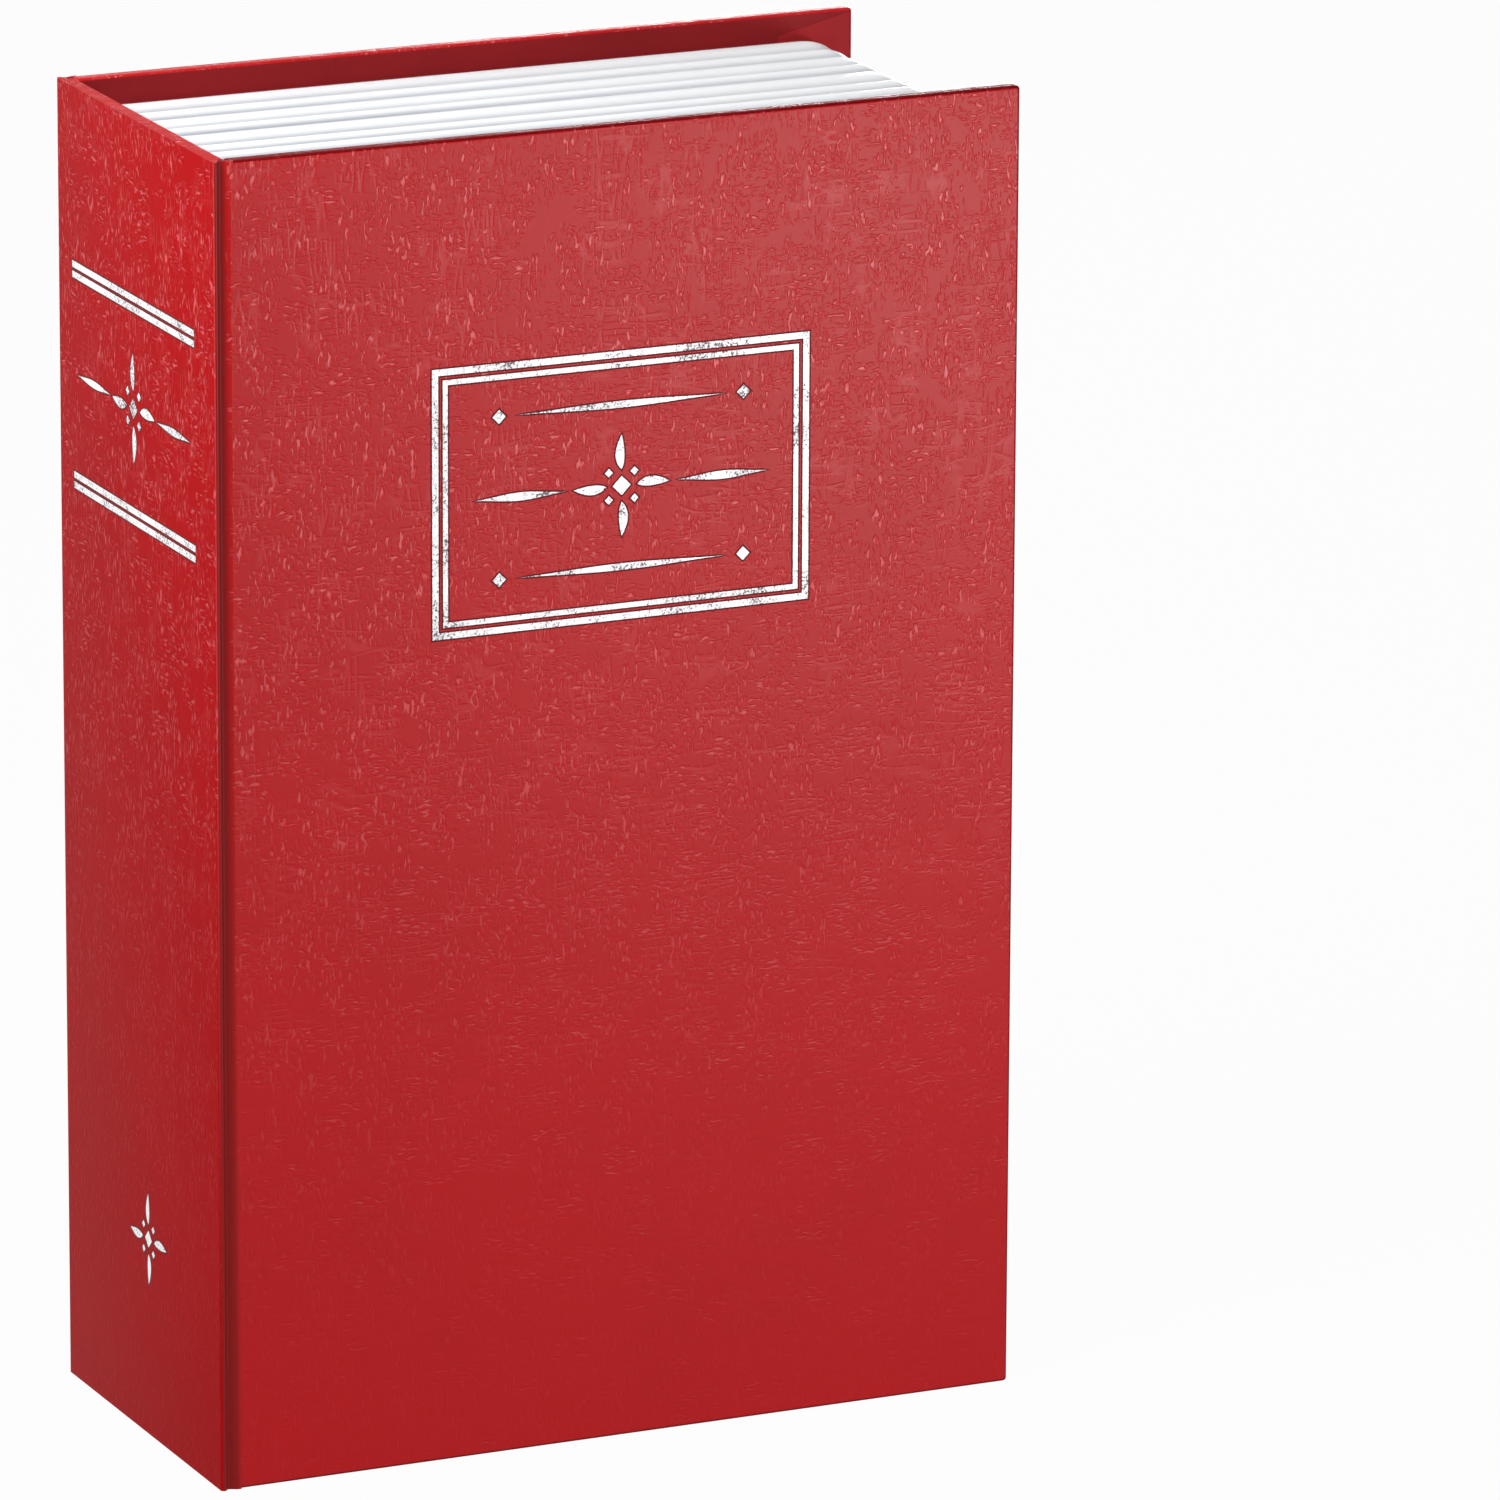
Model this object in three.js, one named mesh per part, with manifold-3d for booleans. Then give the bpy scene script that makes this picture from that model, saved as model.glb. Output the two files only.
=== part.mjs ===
// A book safe: a hardback book case around a moulded block of pages, with a steel box inside.
// The front cover opens like a book, and a steel lid with a three-wheel combination lock closes the box.
// Millimetres, +Z up. The book stands on its tail: spine at -X, front cover at -Y, origin under its middle.

import * as THREE from "three";
import { mergeVertices } from "three/addons/utils/BufferGeometryUtils.js";
import Module from "manifold-3d";

const wasm = await Module();
wasm.setup();

// Overall size of the closed book
const bookHeight = 180;
const bookWidth = 115;
const bookDepth = 55;

// Clearances and the overrun of cutting tools
const glueGap = 0.1;
const runningGap = 0.3;
const overrun = 1;

// Case: greyboard wrapped in embossed leatherette, with a lining pasted inside
const boardThickness = 1.4;
const spineBoardThickness = 1.1;
const wrapThickness = 0.3;
const liningThickness = 0.25;
const turnIn = 11;
const jointWidth = 2.1;
const jointSetBack = 1.2;
const jointDip = 0.7;
const jointCornerRadius = 0.45;

// Pages: a moulded shell on three sides, ridged like gatherings of leaves
const squareAtHead = 3.4;
const squareAtFore = 3;
const pageWall = 1.8;
const pageCornerRadius = 5;
const grooveDepth = 0.9;
const grooveDepthShares = [0.7, 1, 0.85, 0.7, 0.6, 0.75, 0.55, 0.65, 0.55, 0.6];
const gatheringWidthShares = [1.7, 1.2, 0.9, 0.8, 1.4, 0.7, 1.2, 0.9, 1.2];
const crownWidthShares = [0, 0.1, 0.32, 0.68, 0.9];
const crownDepthShares = [1, 0.4, 0, 0, 0.4];

// Steel box
const sheet = 1;
const boxCornerRadius = 2;
const lidRecess = 13.5;
const keeperWidth = 12;
const keeperLeg = 13;
const keeperCornerRadius = 3;
const keeperEndGap = 1.2;

// Screws that hold the box in the page shell
const boxScrewSpacing = 68;
const boxScrewDepth = 23;
const boxScrewShankRadius = 0.9;
const boxScrewBite = 0.6;
const boxScrewHeadRadius = 2.3;
const boxScrewHeadHeight = 1.1;

// Lid and its hinge
const lidClearance = 0.8;
const lidFlange = 8.6;
const lidBendRadius = 1.6;
const lidCornerRadius = 3;
const hingePinRadius = 1;
const hingeBoreGap = 0.15;
const knuckleCount = 7;
const knuckleGap = 0.4;
const hingeLeafDepth = 12;

// Lock plate, as wide and tall as it looks on the lid
const lockWidth = 20.8;
const lockHeight = 48;
const lockThickness = 2.5;
const lockCornerRadius = 1.6;
const lockBevel = 0.45;
const lockFromLidEdge = 28.4;
const lockAboveMiddle = 4.3;
const screwPostFromTop = 3.6;

// Number wheels
const wheelCount = 3;
const wheelRadius = 4.88;
const wheelThickness = 4.2;
const wheelPitch = 5.65;
const wheelSetBack = 2.9;
const wheelGap = 0.35;
const firstWheelFromTop = 11.2;
const facetCount = 10;
const facetNotchDepth = 0.35;
const facetNotchShare = 0.09;
const spindleRadius = 1;
const spindleBoreGap = 0.15;
const hubRadius = 1.7;

// Lock case behind the lid
const caseWall = 1.2;
const caseTopWall = 2.6;
const caseBottomWall = 1.4;
const earLength = 4.8;
const earThickness = 1.5;
const springThickness = 0.3;
const springWidth = 4;
const caseScrewRadius = 0.9;
const caseScrewBite = 1.6;
const caseScrewHeadRadius = 1.7;
const caseScrewHeadHeight = 1;

// Code-setting slide on the back of the case
const slideTravel = 3;
const slideWidth = 1.6;
const slideHeight = 1.8;
const slideSeatDepth = 1.8;
const slideProud = 0.9;

// Turning knob, its shaft and the cam that catches behind the keeper
const knobFromTop = 38.6;
const knobRadius = 7.5;
const knobFaceRadius = 7.1;
const knobHeight = 7.7;
const knobSkirtHeight = 1.5;
const knobRimWidth = 1;
const knobDishDepth = 0.6;
const knobFlutes = 44;
const knobFluteDepth = 0.22;
const arrowRadius = 4.1;
const arrowWidth = 1.3;
const arrowDepth = 0.5;
const dotRadius = 0.75;
const shaftRadius = 2.5;
const shaftBoreGap = 0.15;
const shaftInKnob = 5;
const shaftSquare = 3.4;
const barrelRadius = 4.8;
const nutAcrossFlats = 12.6;
const nutThickness = 1.4;
const camThickness = 1.2;
const camLength = 24.5;
const camWidth = 7;
const camHeadRadius = 5;
const camScrewRadius = 1;
const camScrewLength = 5;
const camScrewHeadRadius = 2.6;
const camScrewHeadHeight = 1.1;
const camWasherRadius = 3.4;
const camWasherThickness = 0.5;

// Planes of the case, from outside to inside
const skin = wrapThickness + glueGap;
const coverThickness = boardThickness + 2 * skin;
const spineThickness = spineBoardThickness + 2 * skin;
const spineX = -bookWidth / 2;
const foreX = bookWidth / 2;
const frontY = -bookDepth / 2;
const backY = bookDepth / 2;
const frontInnerY = frontY + coverThickness;
const backInnerY = backY - coverThickness;
const spineInnerX = spineX + spineThickness;
const coverX = spineX + jointWidth;

// Planes of the pages and the box
const pageFrontY = frontInnerY + runningGap;
const pageBackY = backInnerY - glueGap;
const pageForeX = foreX - squareAtFore;
const pageTopZ = bookHeight - squareAtHead;
const boxX = [spineInnerX + glueGap, pageForeX - pageWall - glueGap];
const boxY = [pageFrontY, backInnerY - glueGap];
const boxZ = [squareAtHead + pageWall + glueGap, pageTopZ - pageWall - glueGap];
const insideX = [boxX[0] + sheet, boxX[1] - sheet];
const insideZ = [boxZ[0] + sheet, boxZ[1] - sheet];

// Lid and hinge axis
const lidFrontY = boxY[0] + lidRecess;
const lidBackY = lidFrontY + sheet;
const lidRightX = insideX[1] - lidClearance;
const lidZ = [insideZ[0] + lidClearance, insideZ[1] - lidClearance];
const knuckleBore = hingePinRadius + hingeBoreGap;
const knuckleRadius = knuckleBore + sheet;
const hingeX = insideX[0] + glueGap + knuckleRadius;
const hingeY = lidBackY - knuckleRadius;
const knuckleLength = (lidZ[1] - lidZ[0] + knuckleGap) / knuckleCount - knuckleGap;
const keeperFrontY = lidBackY + runningGap;

// Lock
const lockX = lidRightX - lockFromLidEdge;
const lockZ = bookHeight / 2 + lockAboveMiddle;
const lockTopZ = lockZ + lockHeight / 2;
const plateFrontY = lidFrontY - glueGap - lockThickness;
const plateBackY = lidFrontY - glueGap;
const wheelY = plateFrontY + wheelSetBack;
const wheelZ = Array.from({ length: wheelCount }, (_, i) => lockTopZ - firstWheelFromTop - i * wheelPitch);
const knobZ = lockTopZ - knobFromTop;
const stackZ = [
  wheelZ[wheelCount - 1] - wheelPitch / 2 - runningGap / 2,
  wheelZ[0] + wheelPitch / 2 + runningGap / 2,
];
const seatZ = [stackZ[0] - caseBottomWall / 2 - glueGap, stackZ[1] + caseBottomWall / 2 + glueGap];
const caseZ = [stackZ[0] - caseBottomWall, stackZ[1] + caseTopWall];
const pocketRadius = wheelRadius + wheelGap;
const springY = wheelY + pocketRadius;
const caseHalfWidth = pocketRadius + caseWall;
const caseBackY = springY + springThickness + glueGap + caseWall;
const earZ = [caseZ[0] - earLength, lockTopZ - screwPostFromTop + earLength / 2];
const caseScrewZ = [caseZ[0] - earLength / 2, lockTopZ - screwPostFromTop];
const nutFrontY = lidBackY + glueGap;
const camFrontY = keeperFrontY + sheet + runningGap;
const camBackY = camFrontY + camThickness;
const slideZ = stackZ[1] + caseTopWall / 2;

// Finishes
const finish = (color, roughness, metalness) =>
  new THREE.MeshStandardMaterial({ color, roughness, metalness, flatShading: true });
const leatherette = finish(0xb0232a, 0.55, 0);
const greyboard = finish(0x8c8880, 0.9, 0);
const liningPaper = finish(0x6d1a1e, 0.85, 0);
const pageWhite = finish(0xf4f5f6, 0.6, 0);
const paintedSteel = finish(0x3c3f43, 0.5, 0.4);
const blackPlastic = finish(0x161617, 0.45, 0);
const nickel = finish(0xb9b2a8, 0.3, 1);
const zincSteel = finish(0xc9ccd0, 0.35, 1);

// A closed geometry as a solid that can be cut and joined
function solidOf(geometry) {
  const bare = geometry.clone();
  bare.deleteAttribute("normal");
  bare.deleteAttribute("uv");
  const merged = mergeVertices(bare);
  return new wasm.Manifold(
    new wasm.Mesh({
      numProp: 3,
      vertProperties: new Float32Array(merged.attributes.position.array),
      triVerts: new Uint32Array(merged.index.array),
    }),
  );
}

// A named mesh from a solid or a geometry
function piece(name, shape, material) {
  let geometry = shape;
  if (!shape.isBufferGeometry) {
    const mesh = shape.getMesh();
    geometry = new THREE.BufferGeometry();
    geometry.setAttribute("position", new THREE.BufferAttribute(new Float32Array(mesh.vertProperties), 3));
    geometry.setIndex(new THREE.BufferAttribute(new Uint32Array(mesh.triVerts), 1));
  }
  geometry.computeVertexNormals();
  const made = new THREE.Mesh(geometry, material);
  made.name = name;
  return made;
}

// Places a piece, and returns it
function at(mesh, x, y, z) {
  mesh.position.set(x, y, z);
  return mesh;
}

// A block between two planes on each axis
function block([x0, x1], [y0, y1], [z0, z1]) {
  const geometry = new THREE.BoxGeometry(x1 - x0, y1 - y0, z1 - z0);
  return solidOf(geometry.translate((x0 + x1) / 2, (y0 + y1) / 2, (z0 + z1) / 2));
}

// A rod standing on z = from
function rodZ(radius, from, to, sides = 24) {
  const geometry = new THREE.CylinderGeometry(radius, radius, to - from, sides);
  return solidOf(geometry.rotateX(Math.PI / 2).translate(0, 0, (from + to) / 2));
}

// A rod along Y
function rodY(radius, from, to, sides = 24) {
  const geometry = new THREE.CylinderGeometry(radius, radius, to - from, sides);
  return solidOf(geometry.translate(0, (from + to) / 2, 0));
}

// An outline in X and Y, run up Z
function extrudeZ(outline, from, to, curveSegments = 4) {
  const settings = { depth: to - from, bevelEnabled: false, curveSegments };
  return solidOf(new THREE.ExtrudeGeometry(outline, settings).translate(0, 0, from));
}

// An outline in X and Z, run along Y
function extrudeY(outline, from, to, curveSegments = 4) {
  const settings = { depth: to - from, bevelEnabled: false, curveSegments };
  return solidOf(new THREE.ExtrudeGeometry(outline, settings).rotateX(Math.PI / 2).translate(0, to, 0));
}

// A rectangle with round corners about the origin
function roundedRectangle(width, height, radius) {
  const [x, y] = [width / 2 - radius, height / 2 - radius];
  const outline = new THREE.Shape();
  outline.absarc(x, y, radius, 0, Math.PI / 2);
  outline.absarc(-x, y, radius, Math.PI / 2, Math.PI);
  outline.absarc(-x, -y, radius, Math.PI, 1.5 * Math.PI);
  outline.absarc(x, -y, radius, 1.5 * Math.PI, 2 * Math.PI);
  return outline;
}

// A regular polygon by the distance between its flats, with a corner on +X
function polygon(sides, acrossFlats) {
  const radius = acrossFlats / 2 / Math.cos(Math.PI / sides);
  const corners = Array.from({ length: sides }, (_, i) => {
    const angle = (i / sides) * 2 * Math.PI;
    return new THREE.Vector2(radius * Math.cos(angle), radius * Math.sin(angle));
  });
  return new THREE.Shape(corners);
}

// A closed solid through rings of points that match one to one, with flat ends
function loft(rings) {
  const count = rings[0].length;
  const positions = rings.flat().flatMap((p) => [p.x, p.y, p.z]);
  const faces = [];
  for (let r = 0; r < rings.length - 1; r++) {
    for (let i = 0; i < count; i++) {
      const [a, b] = [r * count + i, r * count + ((i + 1) % count)];
      faces.push([a, b, b + count], [a, b + count, a + count]);
    }
  }
  const [first, last] = [0, (rings.length - 1) * count];
  for (const [a, b, c] of endFaces(rings[0])) faces.push([first + a, first + c, first + b]);
  for (const [a, b, c] of endFaces(rings[0])) faces.push([last + a, last + b, last + c]);
  const geometry = new THREE.BufferGeometry();
  geometry.setAttribute("position", new THREE.Float32BufferAttribute(positions, 3));
  const turned = signedVolume(positions, faces) < 0;
  geometry.setIndex(faces.flatMap(([a, b, c]) => (turned ? [a, c, b] : [a, b, c])));
  return geometry;
}

// Triangles that fill a flat ring, turned the way the ring runs
function endFaces(ring) {
  const u = new THREE.Vector3();
  const normal = new THREE.Vector3();
  ring.forEach((p, i) => normal.add(u.crossVectors(p, ring[(i + 1) % ring.length])));
  normal.normalize();
  const side = Math.abs(normal.z) > 0.5 ? new THREE.Vector3(1, 0, 0) : new THREE.Vector3(0, 0, 1);
  const across = side.clone().cross(normal).normalize();
  const up = normal.clone().cross(across);
  const flat = ring.map((p) => new THREE.Vector2(p.dot(across), p.dot(up)));
  return THREE.ShapeUtils.triangulateShape(flat, []);
}

function signedVolume(positions, faces) {
  const corner = (i) => new THREE.Vector3(...positions.slice(3 * i, 3 * i + 3));
  return faces.reduce((sum, [a, b, c]) => sum + corner(a).dot(corner(b).cross(corner(c))), 0);
}

// Groups pieces so that turning the group swings them about the pivot
function swinging(pivot, ...parts) {
  const group = new THREE.Group();
  group.position.copy(pivot);
  for (const part of parts) {
    part.position.sub(pivot);
    group.add(part);
  }
  return group;
}

// One board of the case in its wrap: outer face at y = 0, inner face behind it.
// The wrap turns in over the head, the tail and each free edge, and runs on over a hinged edge.
function wrappedBoard(name, width, boardThick, freeEdges) {
  const thickness = boardThick + 2 * skin;
  const board = block([skin, width - skin], [skin, thickness - skin], [skin, bookHeight - skin]);
  const turn = freeEdges.map((free) => (free ? turnIn : skin));
  const windowX = [turn[0], width - turn[1]];
  const windowZ = [turnIn, bookHeight - turnIn];
  const wrap = block([0, width], [0, thickness], [0, bookHeight])
    .subtract(
      block(
        [wrapThickness, width - wrapThickness],
        [wrapThickness, thickness - wrapThickness],
        [wrapThickness, bookHeight - wrapThickness],
      ),
    )
    .subtract(block(windowX, [thickness - skin, thickness + overrun], windowZ));
  const group = new THREE.Group();
  group.add(piece(name + "_board", board, greyboard));
  group.add(piece(name + "_wrap", wrap, leatherette));
  return group;
}

// The paper pasted into the window that the turned-in wrap leaves on a cover's inner face
function coverLining(name, width, freeEdges) {
  const turn = freeEdges.map((free) => (free ? turnIn : skin));
  const lining = block(
    [turn[0] + glueGap, width - turn[1] - glueGap],
    [coverThickness - wrapThickness, coverThickness - wrapThickness + liningThickness],
    [turnIn + glueGap, bookHeight - turnIn - glueGap],
  );
  return piece(name + "_lining", lining, liningPaper);
}

// The strip of wrap that rounds the spine's corner and dips before it climbs onto a cover
function jointCloth(name) {
  const r = jointCornerRadius;
  const t = wrapThickness;
  const edge = jointWidth - glueGap;
  const middle = (r + edge) / 2;
  const outline = new THREE.Shape();
  outline.moveTo(0, jointSetBack - glueGap);
  outline.lineTo(0, r);
  outline.absarc(r, r, r, Math.PI, 1.5 * Math.PI, false);
  outline.bezierCurveTo(middle - r, 0, middle - r / 2, jointDip, middle, jointDip);
  outline.bezierCurveTo(middle + r / 2, jointDip, edge, jointDip, edge, t);
  outline.lineTo(edge, jointDip + t);
  outline.lineTo(middle, jointDip + t);
  outline.bezierCurveTo(middle - r, jointDip + t, middle - r, t, r, t);
  outline.lineTo(t, r);
  outline.lineTo(t, jointSetBack - glueGap);
  outline.closePath();
  return piece(name, extrudeZ(outline, glueGap, bookHeight - glueGap, 5), leatherette);
}

function frontCover() {
  const width = foreX - coverX;
  const cover = wrappedBoard("front", width, boardThickness, [false, true]);
  cover.add(coverLining("front", width, [false, true]));
  cover.position.set(coverX, frontY, 0);
  return swinging(new THREE.Vector3(spineX + jointWidth / 2, frontY - runningGap / 2, 0), cover);
}

function spineAndBack() {
  const width = foreX - coverX;
  const spine = wrappedBoard("spine", bookDepth - 2 * jointSetBack, spineBoardThickness, [false, false]);
  spine.rotation.z = -Math.PI / 2;
  spine.position.set(spineX, backY - jointSetBack, 0);
  const back = wrappedBoard("back", width, boardThickness, [true, false]);
  back.add(coverLining("back", width, [true, false]));
  back.rotation.z = Math.PI;
  back.position.set(foreX, backY, 0);
  const group = new THREE.Group();
  group.add(spine, back);
  group.add(at(jointCloth("front_joint_cloth"), spineX, frontY, 0));
  const backCloth = at(jointCloth("back_joint_cloth"), spineX, backY, bookHeight);
  backCloth.rotation.x = Math.PI;
  group.add(backCloth);
  return group;
}

// The ridged outer line of the page shell: pairs of depth below the crowns and place from front to back
function gatheringLine() {
  const total = gatheringWidthShares.reduce((a, b) => a + b, 0);
  const line = [];
  let y = pageFrontY;
  gatheringWidthShares.forEach((share, i) => {
    const width = ((pageBackY - pageFrontY) * share) / total;
    crownWidthShares.forEach((across, k) => {
      const groove = grooveDepth * grooveDepthShares[across < 0.5 ? i : i + 1];
      line.push([groove * crownDepthShares[k], y + width * across]);
    });
    y += width;
  });
  line.push([grooveDepth * grooveDepthShares.at(-1), pageBackY]);
  return line;
}

// Where the page shell's outer face runs: along the head, round to the fore edge, and back along the tail
function pagePath(steps = 8) {
  const radius = pageCornerRadius;
  const stations = [[boxX[0], pageTopZ, 0, -1]];
  for (let i = 0; i <= steps; i++) {
    const angle = Math.PI / 2 - (i / steps) * (Math.PI / 2);
    const [c, s] = [Math.cos(angle), Math.sin(angle)];
    stations.push([pageForeX - radius + radius * c, pageTopZ - radius + radius * s, -c, -s]);
  }
  const mirrored = stations.map(([x, z, nx, nz]) => [x, bookHeight - z, nx, -nz]).reverse();
  return [...stations, ...mirrored];
}

function boxScrewPlaces() {
  const y = boxY[0] + boxScrewDepth;
  const middle = (boxX[0] + boxX[1]) / 2;
  const places = [];
  for (const up of [-1, 1]) {
    for (const side of [-1, 1]) places.push({ x: middle + (side * boxScrewSpacing) / 2, y, up });
  }
  return places;
}

// A domed screw that stands on z = 0 inside the box, with its shank below
function boxScrew() {
  const shankLength = sheet + glueGap + boxScrewBite;
  const profile = [
    new THREE.Vector2(0, -shankLength),
    new THREE.Vector2(boxScrewShankRadius, -shankLength),
    new THREE.Vector2(boxScrewShankRadius, glueGap),
    new THREE.Vector2(boxScrewHeadRadius, glueGap),
  ];
  for (let i = 1; i <= 4; i++) {
    const angle = (i / 4) * (Math.PI / 2);
    const rise = glueGap + boxScrewHeadHeight * Math.sin(angle);
    profile.push(new THREE.Vector2(boxScrewHeadRadius * Math.cos(angle), rise));
  }
  return new THREE.LatheGeometry(profile, 20).rotateX(Math.PI / 2);
}

function pageBlock() {
  const section = [...gatheringLine(), [pageWall, pageBackY], [pageWall, pageFrontY]];
  const rings = pagePath().map(([x, z, nx, nz]) =>
    section.map(([inward, y]) => new THREE.Vector3(x + nx * inward, y, z + nz * inward)),
  );
  let shell = solidOf(loft(rings)).subtract(boxSolid(glueGap));
  const holeRadius = boxScrewShankRadius + glueGap;
  for (const { x, y, up } of boxScrewPlaces()) {
    const wallZ = up > 0 ? boxZ[1] : boxZ[0];
    const reach = [wallZ - up * overrun, wallZ + up * (2 * glueGap + boxScrewBite)];
    const hole = rodZ(holeRadius, Math.min(...reach), Math.max(...reach), 16);
    shell = shell.subtract(hole.translate([x, y, 0]));
  }
  return piece("page_block", shell, pageWhite);
}

// The box's outside, grown by a gap on the sides
function boxSolid(gap) {
  const [width, height] = [boxX[1] - boxX[0] + 2 * gap, boxZ[1] - boxZ[0] + 2 * gap];
  const outline = roundedRectangle(width, height, boxCornerRadius + gap);
  const [x, z] = [(boxX[0] + boxX[1]) / 2, (boxZ[0] + boxZ[1]) / 2];
  return extrudeY(outline, boxY[0] - gap, boxY[1] + gap).translate([x, 0, z]);
}

function steelBox() {
  const [width, height] = [insideX[1] - insideX[0], insideZ[1] - insideZ[0]];
  const mouth = roundedRectangle(width, height, boxCornerRadius - sheet);
  const cavity = extrudeY(mouth, boxY[0] - overrun, boxY[1] - sheet);
  const [x, z] = [(insideX[0] + insideX[1]) / 2, (insideZ[0] + insideZ[1]) / 2];
  let tray = boxSolid(0).subtract(cavity.translate([x, 0, z]));
  const holeRadius = boxScrewShankRadius + glueGap;
  for (const { x, y } of boxScrewPlaces()) {
    tray = tray.subtract(rodZ(holeRadius, boxZ[0] - overrun, boxZ[1] + overrun, 16).translate([x, y, 0]));
  }
  return piece("steel_box", tray, paintedSteel);
}

function boxScrews() {
  return boxScrewPlaces().map(({ x, y, up }, i) => {
    const screw = piece("box_screw_" + (i + 1), boxScrew(), zincSteel);
    if (up > 0) screw.rotation.x = Math.PI;
    return at(screw, x, y, up > 0 ? insideZ[1] : insideZ[0]);
  });
}

// The angle that the lid closes against and the cam catches behind
function keeperAngle() {
  const z = [insideZ[0] + keeperEndGap, insideZ[1] - keeperEndGap];
  const right = insideX[1] - glueGap;
  const whole = roundedRectangle(2 * keeperWidth, z[1] - z[0], keeperCornerRadius);
  const through = [keeperFrontY - overrun, keeperFrontY + sheet + overrun];
  const flange = extrudeY(whole, keeperFrontY, keeperFrontY + sheet)
    .translate([right, 0, (z[0] + z[1]) / 2])
    .intersect(block([right - 2 * keeperWidth, right], through, z));
  const leg = block([right - sheet, right], [keeperFrontY, keeperFrontY + keeperLeg], z);
  return piece("keeper_angle", flange.add(leg), paintedSteel);
}

// One knuckle about the hinge axis
function knuckle(from, to) {
  return rodZ(knuckleRadius, from, to).subtract(rodZ(knuckleBore, from - overrun, to + overrun));
}

// The knuckles of one leaf: every second one, from the first or the second on
function knucklePlaces(first) {
  const places = [];
  for (let i = first; i < knuckleCount; i += 2) {
    const from = lidZ[0] + i * (knuckleLength + knuckleGap);
    places.push([from, from + knuckleLength]);
  }
  return places;
}

// The leaf welded inside the box's spine wall, with every second knuckle
function fixedHingeLeaf() {
  const clearOfLid = knuckleRadius + runningGap;
  let leaf = block([-knuckleRadius, -knuckleRadius + sheet], [clearOfLid, hingeLeafDepth], lidZ);
  for (const [from, to] of knucklePlaces(0)) {
    const arm = block([-knuckleRadius, -knuckleRadius + sheet], [0, hingeLeafDepth], [from, to]);
    leaf = leaf.add(arm).add(knuckle(from, to));
    leaf = leaf.subtract(rodZ(knuckleBore, from - overrun, to + overrun));
  }
  return at(piece("fixed_hinge_leaf", leaf, paintedSteel), hingeX, hingeY, 0);
}

function hingePin() {
  return at(piece("hinge_pin", rodZ(hingePinRadius, ...lidZ, 20), zincSteel), hingeX, hingeY, 0);
}

// The lid's section across the book: a flat panel with its free edge bent up towards the front
function lidOutline() {
  const inner = lidBendRadius - sheet;
  const right = lidRightX;
  const outline = new THREE.Shape();
  outline.moveTo(hingeX, lidBackY);
  outline.lineTo(right - lidBendRadius, lidBackY);
  outline.absarc(right - lidBendRadius, lidBackY - lidBendRadius, lidBendRadius, Math.PI / 2, 0, true);
  outline.lineTo(right, lidFrontY - lidFlange);
  outline.lineTo(right - sheet, lidFrontY - lidFlange);
  outline.lineTo(right - sheet, lidFrontY - inner);
  outline.absarc(right - lidBendRadius, lidBackY - lidBendRadius, inner, 0, Math.PI / 2, false);
  outline.lineTo(hingeX, lidFrontY);
  outline.closePath();
  return outline;
}

// A tool that rounds the flange's front corner at the lid's end z, where inward points into the lid
function flangeCornerTool(z, inward) {
  const radius = lidCornerRadius;
  const y = lidFrontY - lidFlange;
  const x = [lidRightX - sheet - overrun, lidRightX + overrun];
  const zs = [z - inward * overrun, z + inward * radius];
  const corner = block(x, [y - overrun, y + radius], [Math.min(...zs), Math.max(...zs)]);
  const rod = rodZ(radius, ...x).rotate([0, 90, 0]).translate([0, y + radius, z + inward * radius]);
  return corner.subtract(rod);
}

function lidPanel() {
  let lid = extrudeZ(lidOutline(), ...lidZ);
  const through = [lidFrontY - overrun, lidBackY + overrun];
  for (const [from, to] of knucklePlaces(1)) {
    lid = lid.add(knuckle(from, to).translate([hingeX, hingeY, 0]));
    lid = lid.subtract(rodZ(knuckleBore, from - overrun, to + overrun).translate([hingeX, hingeY, 0]));
  }
  for (const [from, to] of knucklePlaces(0)) {
    const clear = [hingeX - overrun, hingeX + knuckleRadius + runningGap];
    lid = lid.subtract(block(clear, through, [from - knuckleGap, to + knuckleGap]));
  }
  lid = lid.subtract(flangeCornerTool(lidZ[0], 1)).subtract(flangeCornerTool(lidZ[1], -1));
  const caseHole = [lockX - caseHalfWidth - runningGap, lockX + caseHalfWidth + runningGap];
  lid = lid.subtract(block(caseHole, through, [caseZ[0] - runningGap, caseZ[1] + runningGap]));
  lid = lid.subtract(rodY(barrelRadius + runningGap, ...through, 32).translate([lockX, 0, knobZ]));
  for (const z of caseScrewZ) {
    lid = lid.subtract(rodY(caseScrewRadius + runningGap, ...through, 16).translate([lockX, 0, z]));
  }
  return piece("lid_panel", lid, paintedSteel);
}

// A round-cornered ring in X and Z at one depth
function plateRing(width, height, radius, y) {
  const outline = roundedRectangle(width, height, radius).extractPoints(3).shape;
  return outline.slice(0, -1).map((p) => new THREE.Vector3(p.x, y, p.y));
}

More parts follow.
